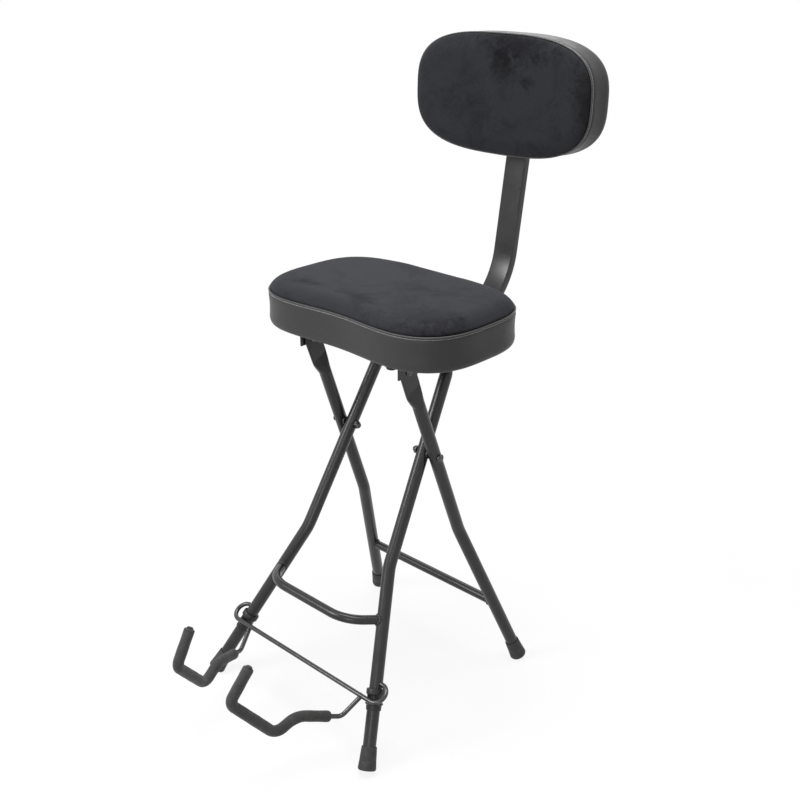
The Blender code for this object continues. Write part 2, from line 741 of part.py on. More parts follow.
def make_hinge_brackets(parent, board, steel, zinc):
    """Angle brackets under the board, outside the legs' flattened ends, with a rivet and two screws each."""
    plate_x = FLAT_X + FLAT_THICK / 2 + CLEAR + HINGE_PLATE / 2
    top = SEAT_UNDERSIDE - CLEAR - HINGE_PLATE / 2
    bottom = SEAT_UNDERSIDE - HINGE_DEPTH
    middle_y = HINGE_POINT.y + (HINGE_REAR - HINGE_FRONT) / 2
    width = HINGE_FRONT + HINGE_REAR
    for word, side in SIDES:
        corners = [
            (side * (plate_x + HINGE_FLANGE), middle_y, top),
            (side * plate_x, middle_y, top),
            (side * plate_x, middle_y, bottom),
        ]
        bracket = strip(f"hinge_bracket_{word}", corners, width, HINGE_PLATE, Y_AXIS, parent, steel)
        cut(bracket, bpy.data.objects[f"eye_hole_{word}"])
        make_hinge_rivet(word, side, plate_x, parent, zinc)
        for number, share in ((1, -1), (2, 1)):
            place = Vector((
                side * (plate_x + HINGE_FLANGE * 0.6), middle_y + share * width / 3, top - HINGE_PLATE / 2
            ))
            hole = screw(f"hinge_screw_{word}_{number}", place, Z_AXIS, HINGE_PLATE, parent, zinc)
            cut(bracket, hole)
            cut(board, hole)


def make_hinge_rivet(word, side, plate_x, parent, material):
    """A rivet through a bracket and the leg's flattened end, with a head on each side."""
    outer = plate_x + HINGE_PLATE / 2 + CLEAR
    inner = FLAT_X - FLAT_THICK / 2 - CLEAR
    profile = (
        (RIVET_OD / 3, inner - RIVET_HEAD_THICK),
        (RIVET_HEAD_OD / 2.4, inner - RIVET_HEAD_THICK / 2),
        (RIVET_HEAD_OD / 2.4, inner),
        (RIVET_OD / 2, inner),
        (RIVET_OD / 2, outer),
        (RIVET_HEAD_OD / 2, outer),
        (RIVET_HEAD_OD / 2, outer + RIVET_HEAD_THICK / 2),
        (RIVET_HEAD_OD / 3, outer + RIVET_HEAD_THICK),
        (RIVET_OD / 4, outer + RIVET_HEAD_THICK * 0.7),
    )
    base = Vector((0, HINGE_POINT.y, HINGE_POINT.z))
    turned(f"hinge_rivet_{word}", base, X_AXIS * side, profile, parent, material)


def make_sleeve(parent, board, steel, zinc):
    """The rectangular sleeve that the backrest's post slides in, hung under the board by two angle rails."""
    outer = rectangle(2 * SLEEVE_HALF_WIDTH, 2 * SLEEVE_HALF_HEIGHT)
    inner = rectangle(POST_WIDTH + 2 * CLEAR, POST_THICK + 2 * CLEAR)
    stations = ((outer, SLEEVE_FRONT), (outer, SLEEVE_REAR), (inner, SLEEVE_REAR), (inner, SLEEVE_FRONT))
    rings = [[Vector((a, y, POST_Z + b)) for a, b in outline] for outline, y in stations]
    sleeve = add_object("post_sleeve", loft_mesh("post_sleeve", rings, closed=True), parent, steel)
    start = CLAMP_POINT - Z_AXIS * OVERRUN
    end = CLAMP_POINT + Z_AXIS * (SLEEVE_WALL + POST_THICK / 2)
    cut(sleeve, cutter("clamp_hole", start, end, BOLT_OD / 2 + CLEAR, parent))
    top = SEAT_UNDERSIDE - CLEAR - SLEEVE_WALL / 2
    web_x = SLEEVE_HALF_WIDTH + CLEAR + SLEEVE_WALL / 2
    middle_y = (SLEEVE_FRONT + SLEEVE_REAR) / 2
    width = SLEEVE_REAR - SLEEVE_FRONT - 2 * RAIL_END
    for word, side in SIDES:
        corners = [
            (side * (web_x + RAIL_FLANGE), middle_y, top),
            (side * web_x, middle_y, top),
            (side * web_x, middle_y, POST_Z - POST_THICK / 2),
        ]
        rail = strip(f"sleeve_rail_{word}", corners, width, SLEEVE_WALL, Y_AXIS, parent, steel)
        for number, share in ((1, -1), (2, 1)):
            place = Vector((
                side * (web_x + RAIL_FLANGE * 0.6), middle_y + share * width * 0.4, top - SLEEVE_WALL / 2
            ))
            hole = screw(f"rail_screw_{word}_{number}", place, Z_AXIS, SLEEVE_WALL, parent, zinc)
            cut(rail, hole)
            cut(board, hole)


def make_saddles(parent, board, steel, zinc):
    """Joggled straps that rest on the top bar, each with a lip behind it that stops the legs spreading."""
    bar = front_axis(TOP_BAR_HEIGHT)
    half = SADDLE_THICK / 2
    top = SEAT_UNDERSIDE - CLEAR - half
    web_y = bar.y - SADDLE_FRONT
    shelf = bar.z + LEG_RADIUS + CLEAR + half
    lip_y = bar.y + LEG_RADIUS + CLEAR + half
    for word, side in SIDES:
        x = side * SADDLE_X
        corners = [
            (x, web_y - SADDLE_FLANGE, top),
            (x, web_y, top),
            (x, web_y, shelf),
            (x, lip_y, shelf),
            (x, lip_y, shelf - half - SADDLE_LIP),
        ]
        saddle = strip(f"bar_saddle_{word}", corners, SADDLE_WIDTH, SADDLE_THICK, X_AXIS, parent, steel)
        place = Vector((x, web_y - SADDLE_FLANGE * 0.6, top - half))
        hole = screw(f"saddle_screw_{word}", place, Z_AXIS, SADDLE_THICK, parent, zinc)
        cut(saddle, hole)
        cut(board, hole)


def make_clamp_nut(parent, material):
    """The nut welded under the sleeve, which the clamp knob's stud turns in."""
    top = -CLEAR
    bottom = -CLEAR - CLAMP_NUT_THICK
    bore = circle(BOLT_OD / 2 + CLEAR, 12)
    stations = ((bore, top), (hexagon(CLAMP_NUT_OD), top), (hexagon(CLAMP_NUT_OD), bottom), (bore, bottom))
    rings = [[CLAMP_POINT + Vector((a, b, z)) for a, b in outline] for outline, z in stations]
    add_object("clamp_nut", loft_mesh("clamp_nut", rings, closed=True), parent, material)


def make_clamp_knob(parent, plastic, zinc):
    """The knob under the sleeve, and its stud, whose end presses on the post."""
    knob_top = -2 * CLEAR - CLAMP_NUT_THICK - CLEAR
    profile = (
        (BOLT_OD / 2 + CLEAR, knob_top - KNOB_HEIGHT / 2),
        (BOLT_OD / 2 + CLEAR, knob_top),
        (KNOB_OD * 0.36, knob_top),
        (KNOB_OD * 0.36, knob_top - CLAMP_NECK),
        (KNOB_OD / 2, knob_top - CLAMP_NECK * 1.3),
        (KNOB_OD / 2, knob_top - KNOB_HEIGHT + KNOB_ROUND),
        (KNOB_OD / 2 - KNOB_ROUND * 0.35, knob_top - KNOB_HEIGHT + KNOB_ROUND * 0.3),
        (KNOB_OD / 2 - KNOB_ROUND, knob_top - KNOB_HEIGHT),
    )
    turned("clamp_knob", CLAMP_POINT, Z_AXIS, profile, parent, plastic, sides=TUBE_SIDES)
    stud = (
        (BOLT_OD / 2, knob_top - KNOB_HEIGHT / 2 + CLEAR),
        (BOLT_OD / 2, SLEEVE_WALL),
    )
    turned("clamp_stud", CLAMP_POINT, Z_AXIS, stud, parent, zinc)


def back_frame():
    """The backrest's own frame: height runs up the pad, and depth from the board's face to the front."""
    tilt = Matrix.Rotation(math.radians(90) - BACK_LEAN, 4, "X")
    face = Vector((0, BACK_FACE_Y, BACK_CENTRE_HEIGHT))
    depth = tilt @ Vector((0, 0, 1))
    return Matrix.Translation(face - depth * BACK_BAND) @ tilt


def make_post(parent, steel, plastic):
    """The flat post, bent up behind the seat and again behind the pad, and the cap in its front end."""
    frame = back_frame()
    gap = 2 * CLEAR + BACK_PLATE_THICK + POST_THICK / 2
    neck = frame @ Vector((0, -BACK_HALF_HEIGHT, -gap))
    top = frame @ Vector((0, -BACK_HALF_HEIGHT + POST_ABOVE_NECK + BACK_PLATE_HEIGHT / 2, -gap))
    foot_y = neck.y - (neck.z - POST_Z) * math.tan(POST_LEAN)
    foot = Vector((0, foot_y, POST_Z))
    front = Vector((0, POST_FRONT, POST_Z))
    middle = (foot + neck) / 2
    lower = rounded((front, foot, middle), POST_BEND, steps=10)
    upper = rounded((middle, neck, top), POST_NECK_BEND, steps=3)
    path = lower[:-1] + upper[1:]
    outline = rounded_rectangle(POST_WIDTH, POST_THICK, POST_EDGE)
    rings = sweep_rings(path, [outline] * len(path), X_AXIS)
    add_object("backrest_post", loft_mesh("backrest_post", rings), parent, steel)
    rings = sweep_rings([front - Y_AXIS * (CLEAR + POST_CAP), front - Y_AXIS * CLEAR], [outline] * 2, X_AXIS)
    add_object("post_end_cap", loft_mesh("post_end_cap", rings), parent, plastic)


def make_backrest(parent, fabric, wood, steel, zinc):
    """The backrest's cushion and board, and the plate that carries them on the post."""
    frame = back_frame()
    rings = cushion_rings(back_outline, BACK_BAND, BACK_CROWN, BACK_BOARD_THICK, BACK_HALF_HEIGHT)
    add_object("back_cushion", loft_mesh("back_cushion", placed(rings, frame)), parent, fabric)
    outline = back_outline(BAND_WALL + CLEAR)
    rings = [[(a, b, height) for a, b in outline] for height in (0, BACK_BOARD_THICK)]
    board = add_object("back_board", loft_mesh("back_board", placed(rings, frame)), parent, wood)
    plate_y = -BACK_HALF_HEIGHT + POST_ABOVE_NECK
    outline = rounded_rectangle(BACK_PLATE_WIDTH, BACK_PLATE_HEIGHT, SEAT_EDGE)
    rings = [[(a, plate_y + b, -height) for a, b in outline] for height in (CLEAR, CLEAR + BACK_PLATE_THICK)]
    plate = add_object("back_plate", loft_mesh("back_plate", placed(rings, frame)), parent, steel)
    along = (frame.to_3x3() @ Z_AXIS).normalized()
    number = 0
    for a in (-1, 1):
        for b in (-1, 1):
            number += 1
            across, up = a * BACK_PLATE_WIDTH * 0.4, plate_y + b * BACK_PLATE_HEIGHT * 0.35
            place = frame @ Vector((across, up, -CLEAR - BACK_PLATE_THICK))
            hole = screw(f"back_screw_{number}", place, along, BACK_PLATE_THICK, parent, zinc)
            cut(board, hole)
            cut(plate, hole)


def arm_places(side):
    """The ends and bends of an arm. Its first run touches the cross wire from below, where it is welded."""
    wire = Vector((0, CRADLE_HINGE.y, CRADLE_HINGE.z)) + cradle_rod_offset()
    bends = [
        Vector((side * x * CRADLE_WELD_X, wire.y - y * CRADLE_REACH, wire.z + z * CRADLE_RISE))
        for x, y, z in ARM_BEND_SHARES
    ]
    spacing = WIRE_OD + CLEAR
    back = Vector((0, wire.y - bends[0].y, wire.z - bends[0].z))
    swing = Matrix.Rotation(-math.asin(spacing / back.length), 3, "X")
    touch = bends[0] + swing @ back.normalized() * math.sqrt(back.length**2 - spacing**2)
    touch.x = side * CRADLE_WELD_X
    return [touch + (touch - bends[0]).normalized() * WIRE_OD * ARM_OVERRUN_SHARE, *bends]


def make_cradle_wire(parent, material):
    """The cross wire, with a half loop at each end that leads back into the leg's hole on the hinge axis."""
    hinge = Vector((0, CRADLE_HINGE.y, CRADLE_HINGE.z))
    wire = hinge + cradle_rod_offset()
    middle = (hinge + wire) / 2
    half = (wire - hinge) / 2
    path = []
    for side in (-1, 1):
        centre = middle + X_AXIS * side * CRADLE_LOOP_X
        loop = []
        for i in range(9):
            t = math.pi * i / 8
            loop.append(centre + half * math.cos(t) + X_AXIS * side * half.length * math.sin(t))
        loop.append(hinge + X_AXIS * side * (CRADLE_LOOP_X - CRADLE_TAIL))
        path += loop[::-1] if side < 0 else loop
    rod("cradle_wire", path, WIRE_RADIUS, WIRE_SIDES, parent, material)


def make_cradle_arms(parent, steel, foam):
    """The two arms of bent wire, each with a foam sleeve from its second bend over its tip."""
    for word, side in SIDES:
        places = arm_places(side)
        start = places[2]
        straight = rounded((places[0], places[1], start), CRADLE_WIRE_BEND, steps=4)
        curved = rounded(places[2:], CRADLE_FOAM_BEND, steps=5)
        rod(f"cradle_arm_{word}", straight[:-1] + curved, WIRE_RADIUS, CORE_SIDES, parent, steel)
        make_foam(word, curved, parent, foam)


def make_foam(word, path, parent, material):
    """A foam sleeve round an arm: a bore from its open end, and a rounded outer skin past the arm's tip."""
    along = tangents(path)
    radius = FOAM_OD / 2
    bore = WIRE_RADIUS + CLEAR
    first, last = path[0], path[-1]
    nose = last + along[-1] * FOAM_SKIN
    stations = [(last + along[-1] * CLEAR, bore)]
    stations += [(point, bore) for point in path[-2:0:-1]]
    stations += [(first, bore), (first, radius * 0.75), (first + along[0] * FOAM_SKIN / 2, radius)]
    stations += [(point, radius) for point in path[1:]]
    stations += [(nose, radius * 0.82), (nose + along[-1] * FOAM_SKIN / 2, radius * 0.45)]
    inner_count = len(path)
    centres = [centre for centre, _ in stations]
    directions = [-d for d in tangents(centres[:inner_count])] + tangents(centres[inner_count + 1 :])
    directions.insert(inner_count, along[0])
    across = Z_AXIS
    rings = []
    for (centre, size), ahead in zip(stations, directions):
        across = (across - ahead * across.dot(ahead)).normalized()
        other = ahead.cross(across)
        rings.append([centre + across * a + other * b for a, b in circle(size, WIRE_SIDES)])
    name = f"cradle_foam_{word}"
    add_object(name, loft_mesh(name, rings), parent, material)


def centre_on_floor(base):
    """Shifts the whole stool along Y, so that its box's centre stands over the origin."""
    bpy.context.view_layer.update()
    reach = [
        (obj.matrix_world @ Vector(corner)).y
        for obj in bpy.data.objects
        if obj.type == "MESH" and not obj.hide_render
        for corner in obj.bound_box
    ]
    base.location.y = -(min(reach) + max(reach)) / 2


def main():
    """Makes the stool, from the floor up."""
    clear_scene()
    finish("cutter", (0.8, 0.1, 0.1), 0.5)
    steel = finish("black_steel", (0.014, 0.014, 0.015), 0.38, 0.0)
    zinc = finish("dark_zinc", (0.20, 0.20, 0.21), 0.35, 1.0)
    rubber = finish("black_rubber", (0.012, 0.012, 0.012), 0.75)
    plastic = finish("black_plastic", (0.016, 0.016, 0.017), 0.45)
    foam = finish("black_foam", (0.013, 0.013, 0.014), 0.9)
    velvet = finish("black_velvet", (0.012, 0.012, 0.013), 0.95)
    wood = finish("plywood", (0.42, 0.30, 0.18), 0.7)

    base = axis_empty("stool_base", (0, 0, 0), None)
    scissor = axis_empty("scissor_axis", (0, 0, PIVOT_HEIGHT), base)
    seat_axis = axis_empty("seat_axis", tuple(HINGE_POINT), scissor)
    post_axis = axis_empty("post_slide", (0, SLEEVE_REAR, POST_Z), seat_axis)
    clamp_axis = axis_empty("clamp_axis", tuple(CLAMP_POINT), seat_axis)
    cradle_axis = axis_empty("cradle_axis", (0, CRADLE_HINGE.y, CRADLE_HINGE.z), base)

    make_front_legs(base, steel)
    make_top_bar(base, steel)
    make_footrest(base, steel)
    make_collars(base, plastic)
    make_feet("front", front_axis, base, rubber)
    make_pivot_fasteners(base, zinc, plastic)

    make_rear_legs(scissor, steel)
    make_rear_bar(scissor, steel)
    make_feet("rear", rear_axis, scissor, rubber)

    board = make_seat(seat_axis, velvet, wood)
    make_hinge_brackets(seat_axis, board, steel, zinc)
    make_sleeve(seat_axis, board, steel, zinc)
    make_saddles(seat_axis, board, steel, zinc)
    make_clamp_nut(seat_axis, zinc)
    make_clamp_knob(clamp_axis, plastic, zinc)

    make_post(post_axis, steel, plastic)
    make_backrest(post_axis, velvet, wood, steel, zinc)

    make_cradle_wire(cradle_axis, steel)
    make_cradle_arms(cradle_axis, steel, foam)
    centre_on_floor(base)


main()
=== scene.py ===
"""Looks of the folding guitar stool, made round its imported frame.

Metres, +Z up. The stool faces -Y, and right is +X. New pieces are surfaces worked out as whole arrays: a
profile carried along a path, or rings of an outline at a list of insets and heights. Frames, wire and post
follow the same driving sizes as the solids they stand for, and every place is counted from the scissor
bolt's axis.
"""

import json
import math

import bpy
import numpy as np
from mathutils import Matrix, Vector
from mathutils.kdtree import KDTree


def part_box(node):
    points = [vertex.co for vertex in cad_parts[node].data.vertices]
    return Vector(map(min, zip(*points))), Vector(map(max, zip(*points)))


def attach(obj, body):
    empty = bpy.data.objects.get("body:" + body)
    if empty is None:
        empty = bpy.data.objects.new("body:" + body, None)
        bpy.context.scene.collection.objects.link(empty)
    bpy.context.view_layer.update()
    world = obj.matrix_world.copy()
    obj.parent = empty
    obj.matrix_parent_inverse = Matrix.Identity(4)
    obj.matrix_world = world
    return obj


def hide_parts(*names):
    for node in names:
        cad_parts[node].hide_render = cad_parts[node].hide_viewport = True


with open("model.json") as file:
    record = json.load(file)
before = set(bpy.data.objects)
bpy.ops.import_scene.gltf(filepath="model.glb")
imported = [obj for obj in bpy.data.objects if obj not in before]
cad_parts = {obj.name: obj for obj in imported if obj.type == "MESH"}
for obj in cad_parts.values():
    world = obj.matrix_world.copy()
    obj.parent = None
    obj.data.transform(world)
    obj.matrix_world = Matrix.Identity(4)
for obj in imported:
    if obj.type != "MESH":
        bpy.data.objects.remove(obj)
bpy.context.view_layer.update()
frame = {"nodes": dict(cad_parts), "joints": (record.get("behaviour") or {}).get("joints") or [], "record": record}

JOINTS = {joint["name"]: joint for joint in frame["joints"]}
PIVOT = np.array(JOINTS["scissor_fold"]["pos_m"], float)
SEAT_AXIS = np.array(JOINTS["seat_fold"]["pos_m"], float)
CRADLE_AXIS = np.array(JOINTS["cradle_fold"]["pos_m"], float)
SIDES = (("right", 1), ("left", -1))
X_AXIS = np.array((1.0, 0.0, 0.0))
Y_AXIS = np.array((0.0, 1.0, 0.0))
Z_AXIS = np.array((0.0, 0.0, 1.0))
# Factors that carry a point across the middle plane, and onto it
MIRROR = np.array((-1, 1, 1))
MIDDLE = np.array((0, 1, 1))

# Tubes, bars and wire
LEG_RADIUS = 0.011
BAR_RADIUS = 0.008
WIRE_RADIUS = 0.004
CLEAR = 0.0003
BAR_END_SHARE = 0.6

# Scissor frames
FRONT_PIVOT_X = 0.0868
FRONT_LEAN = math.radians(29.64)
FRONT_UPPER_SPLAY = math.radians(4.66)
FRONT_LOWER_SPLAY = math.radians(19.44)
FRONT_KNEE_HEIGHT = 0.2809
FRONT_TOP_BEND = 0.024
REAR_LEAN = math.radians(19.83)
REAR_UPPER_SPLAY = math.radians(1.57)
REAR_LOWER_SPLAY = math.radians(12.73)
REAR_KNEE_HEIGHT = 0.294
REAR_PIVOT_X = 0.11361
KNEE_BEND = 0.09
LEG_END_HEIGHT = 0.009
FLAT_THICK = 0.004
FLAT_WIDTH = 0.034
FLAT_BELOW = 0.0395
FLAT_NECK = 0.028
CREASE_TILT = 0.007
FLAT_END = 0.0122
FLAT_OFFSET = 0.0012
FLAT_SQUARENESS = 8.0
FLAT_SHARP = 11

# Footrest and rear bar
FOOTREST_HEIGHT = 0.217
FOOTREST_REACH = 0.0549
FOOTREST_WELD_DROP = 0.0094
FOOTREST_CORNER_X = 0.091
FOOTREST_BEND = 0.0633
REAR_BAR_HEIGHT = 0.1308
BEAD_RADIUS = 0.0023

# Feet and collars
FOOT_LENGTH = 0.038
FOOT_TOP_RADIUS = 0.01275
FOOT_SOLE_RADIUS = 0.01525
FOOT_SOLE = 0.005
FOOT_FLAT = 0.0022
FOOT_LINE_HEIGHT = 0.0152
FOOT_LINE_HALF = 0.0007
FOOT_LINE_DEPTH = 0.00035
# Rounded edges of a foot: how far inside the radius, and how far from the end
FOOT_LIP = ((0.0008, 0.0), (0.0002, 0.0006), (0.0, 0.0014))
FOOT_EDGE = ((0.0, 0.0036), (0.0002, 0.0022), (0.0010, 0.0008), (0.0024, 0.0))
COLLAR_RADIUS = 0.015
COLLAR_GROOVE_RADIUS = 0.0125
COLLAR_TOP = 0.0115
COLLAR_BOTTOM = 0.0465
COLLAR_GROOVE = 0.0145
COLLAR_EDGE = 0.0015

# Guitar cradle
CRADLE_LOOP_OD = 0.0333
CRADLE_LOOP_PAST_LEG = 0.0141
CRADLE_TAIL = 0.019
CRADLE_WELD_INSIDE_LEG = 0.0128
CRADLE_REACH = 0.2013
CRADLE_RISE = 0.1062
CRADLE_WIRE_BEND = 0.014
CRADLE_FOAM_BENDS = (0.040, 0.019, 0.016)
FOAM_RADIUS = 0.00925
FOAM_SKIN = 0.004
# Shares of the foam's radius at its cut end, its tip and the button on the tip
FOAM_CUT = (0.84, 0.965, 0.99)
FOAM_TIP = (0.99, 0.95, 0.87, 0.76)
BUTTON_RADII = (0.54, 0.60, 0.57, 0.43, 0.17)
BUTTON_HEIGHTS = (-0.05, 0.16, 0.48, 0.72, 0.82)
ARM_OVERRUN_SHARE = 0.2
ARM_BEND_SHARES = (
    (0.913, 0.146, -0.327),
    (0.861, 0.242, -0.256),
    (0.712, 0.500, -0.070),
    (0.646, 0.685, -0.245),
    (0.474, 1.020, 0.553),
    (0.523, 0.848, 1.010),
)

# Seat
SEAT_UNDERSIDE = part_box("seat_board")[0].z
SEAT_HALF_LENGTH = 0.2125
SEAT_FRONT_DEPTH = 0.152
SEAT_REAR_DEPTH = 0.149
SEAT_WAIST = 0.040
SEAT_WAIST_HALF = 0.160
SEAT_FRONT_SQUARENESS = 2.75
SEAT_REAR_SQUARENESS = 3.4
SEAT_BAND = 0.0582
SEAT_CROWN = 0.0168
SEAT_PLATEAU = 0.038
SEAT_SWELL = 0.0030

# Backrest and its post
BACK_FACE_Y = 0.2845
BACK_CENTRE_HEIGHT = 1.0042
BACK_LEAN = math.radians(2.0)
BACK_HALF_LENGTH = 0.190
BACK_HALF_HEIGHT = 0.101
BACK_SQUARENESS = 2.95
BACK_BAND = 0.0525
BACK_CROWN = 0.0085
BACK_PLATEAU = 0.030
BACK_SWELL = 0.0030
BACK_PLATE_THICK = 0.004
BACK_PLATE_HEIGHT = 0.080
POST_WIDTH = 0.043
POST_THICK = 0.016
POST_EDGE = 0.0024
POST_DROP = 0.038
POST_LEAN = math.radians(9.3)
POST_BEND = 0.1345
POST_NECK_BEND = 0.060
POST_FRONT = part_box("backrest_post")[0].y
POST_ABOVE_NECK = 0.085

# Covers
COVER_WALL = 0.0050
COVER_TURN = 0.0046
COVER_DRAW = 0.0009
COVER_EDGE = 0.011
WELT_RADIUS = 0.0015
WELT_INSET = 0.0012
WELT_DROP = 0.0008
GROOVE_DEPTH = 0.0010
VOXEL = 0.005
CLOTH = {
    "use_pressure": True, "uniform_pressure_force": 4.0, "quality": 5, "tension_stiffness": 15,
    "compression_stiffness": 15, "bending_stiffness": 4,
}
CLOTH_FRAMES = 20
CLOTH_SMOOTHING = 24
CLOTH_NEIGHBOURS = 12
PAD_OVERHANG = 0.0014
PAD_REACH = 0.88
STITCH_PITCH = 0.0042
STITCH_LENGTH = 0.0031
STITCH_RADIUS = 0.00058
STITCH_DROP = 0.0037
# A stitch's rings: shares of its half length and of its radius
STITCH_SHARES = (-1, -0.86, -0.4, 0.4, 0.86, 1)
STITCH_SIZES = (0.25, 0.8, 1, 1, 0.8, 0.25)
LINING_THICK = 0.00012
LINING_GAP = 0.00006
PUCKER = 0.00012
PUCKERS = 140
PUCKER_REACH = 0.0035
GRAIN_WANDER = 0.0016

# Velvet
VELVET_LIGHT = (0.0215, 0.022, 0.0255)
VELVET_DARK = (0.0036, 0.0036, 0.0050)
VELVET_PEPPER = 0.22
# Marks where the pile was brushed the other way, whose changed sheen is painted as darker colour:
# centre, half sizes, turn, depth. The seat's are counted from the scissor bolt at the seam's height,
# and the backrest's from the middle of its face.
SEAT_PILE_SHEEN_MARKS = (
    ((0.160, -0.062, 0.0), (0.120, 0.055, 0.2), (0, 0, 0.17), 0.6),
    ((0.004, -0.067, 0.0), (0.095, 0.024, 0.2), (0, 0, -0.14), 0.6),
    ((-0.116, -0.070, 0.0), (0.055, 0.022, 0.2), (0, 0, 0.25), 0.65),
    ((0.060, 0.030, 0.0), (0.090, 0.030, 0.2), (0, 0, -0.3), 0.3),
)
BACK_PILE_SHEEN_MARKS = (
    ((0.040, 0.0, 0.086), (0.125, 0.3, 0.046), (0, 0.1, 0), 0.72),
    ((0.015, 0.0, 0.047), (0.045, 0.3, 0.044), (0, -0.3, 0), 0.6),
    ((0.067, 0.0, 0.027), (0.020, 0.3, 0.015), (0, 0, 0), 0.6),
    ((0.190, 0.0, 0.012), (0.050, 0.3, 0.105), (0, 0, 0), 0.6),
    ((-0.060, 0.0, -0.020), (0.120, 0.3, 0.060), (0, 0.4, 0), 0.2),
)

# Camera and light
CAMERA_AZIMUTH = math.radians(43.68)
CAMERA_ELEVATION = math.radians(23.31)
CAMERA_ROLL = math.radians(-0.305)
CAMERA_DISTANCE = 1.9141
CAMERA_AIM = (0.0, 0.0349, 0.5138)
CAMERA_LENS = 49.58
SENSOR = 36.0
WORLD_LEVEL = 0.24
FLOOR_HALF = 4.0
FLOOR_TONE = 0.86
FLOOR_GLOW = 0.86
SHADOW_NEAR = 0.35
SHADOW_FAR = 1.3
# Lights: name, place, aim, size, power
LIGHTS = (
    ("key", (-1.35, -2.4, 2.2), (0, 0, 0.6), 1.2, 62),
    ("top", (0.0, 0.2, 3.0), (0, 0, 0.6), 1.8, 78),
    ("fill", (1.2, -2.4, 0.9), (0, 0, 0.6), 0.8, 10),
    ("rim", (-1.5, 2.0, 2.3), (0, 0, 0.8), 1.5, 12),
)

# Points round each ring, along an arc and along an outline
TUBE_SIDES = 40
WIRE_SIDES = 24
FOAM_SIDES = 32
FLAT_SIDES = 64
TURNED_SIDES = 48
COVER_SIDES = 420
PAD_SIDES = 320
LINING_SIDES = 200
WELD_SIDES = 72
BEAD_SIDES = 12
PIPING_SIDES = 14
THREAD_SIDES = 8
ARC_POINTS = 25
OUTLINE_POINTS = 6001


def unit(vectors):
    """Vectors divided by their lengths."""
    vectors = np.asarray(vectors, float)
    return vectors / np.linalg.norm(vectors, axis=-1, keepdims=True)


def smooth_step(values, low, high):
    """0 below low, 1 above high, and the cubic 3t^2 - 2t^3 between them."""
    t = np.clip((values - low) / (high - low), 0, 1)
    return t * t * (3 - 2 * t)


def signed_power(values, power):
    """The size of each value raised to a power, with the value's own sign."""
    return np.sign(values) * np.abs(values) ** power


def turns(count):
    """Angles at even steps round a full turn, the first one 0."""
    return np.linspace(0, 2 * math.pi, count, endpoint=False)


def circle(radius, sides):
    """Points of a circle. radius may be one number or one for each ring."""
    angle = turns(sides)
    points = np.stack([np.cos(angle), np.sin(angle)], axis=-1)
    radius = np.asarray(radius, float)
    return points * radius if radius.ndim == 0 else points * radius[:, None, None]


def new_object(name, data):
    """An object in the scene."""
    made = bpy.data.objects.new(name, data)
    bpy.context.scene.collection.objects.link(made)
    return made


def rows_of(items, label, size, kind):
    """A property of a mesh's points, edges or triangles as an array with size values in each row."""
    values = np.empty(len(items) * size, kind)
    items.foreach_get(label, values)
    return values.reshape(-1, size)


def points_of(mesh):
    """A mesh's points as an array."""
    return rows_of(mesh.vertices, "co", 3, np.float32).astype(float)


def signed_volume(mesh):
    """Six times the volume inside a closed mesh, negative if its faces point inwards."""
    mesh.calc_loop_triangles()
    points = points_of(mesh)
    points = points - points.mean(0)
    a, b, c = points[rows_of(mesh.loop_triangles, "vertices", 3, np.int32)].transpose(1, 0, 2)
    return float(np.einsum("ij,ij->", a, np.cross(b, c)))


def grid_faces(rows, count, loop):
    """Quads between neighbouring rings of count points, the last ring joined to the first if loop."""
    across = np.arange(count)
    beside = (across + 1) % count
    low = np.arange(rows if loop else rows - 1)[:, None] * count
    high = (low + count) % (rows * count)
    return np.stack([low + across, low + beside, high + beside, high + across], axis=-1).reshape(-1, 4)


def mesh_piece(name, points, faces, material, body, sharp=40, replaced=()):
    """A mesh as a piece of a body, turned right side out by its signed volume, in its material's slot.

    It may stand for some nodes. Edges over the sharp angle, in degrees, aren't smoothed.
    """
    mesh = bpy.data.meshes.new(name)
    mesh.from_pydata(np.asarray(points).tolist(), [], faces)
    mesh.update()
    if signed_volume(mesh) < 0:
        mesh.flip_normals()
    mesh.materials.append(material)
    mesh.shade_smooth()
    mesh.set_sharp_from_angle(angle=math.radians(sharp))
    obj = new_object(name, mesh)
    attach(obj, body)
    if replaced:
        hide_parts(*replaced)
    return obj


def piece(name, rings, material, body, loop=False, **settings):
    """A mesh piece of rings, an (m, n, 3) array. Open ends are closed by a fan to the end ring's middle."""
    rings = np.asarray(rings, float)
    rows, count = rings.shape[:2]
    points = rings.reshape(-1, 3)
    faces = grid_faces(rows, count, loop).tolist()
    if not loop:
        around = np.arange(count)
        beside = (around + 1) % count
        last = (rows - 1) * count
        points = np.vstack([points, rings[0].mean(0), rings[-1].mean(0)])
        first_hub = np.full(count, rows * count)
        faces += np.stack([beside, around, first_hub], axis=-1).tolist()
        faces += np.stack([last + around, last + beside, first_hub + 1], axis=-1).tolist()
    return mesh_piece(name, points, faces, material, body, **settings)


def reach_along(path):
    """The distance along a path to each of its points."""
    return np.concatenate([[0], np.cumsum(np.linalg.norm(np.diff(path, axis=0), axis=1))])


def even_points(path, count, endpoint=True):
    """A path's points at even distances along it."""
    reach = reach_along(path)
    places = np.linspace(0, reach[-1], count, endpoint=endpoint)
    return np.stack([np.interp(places, reach, values) for values in path.T], axis=-1)


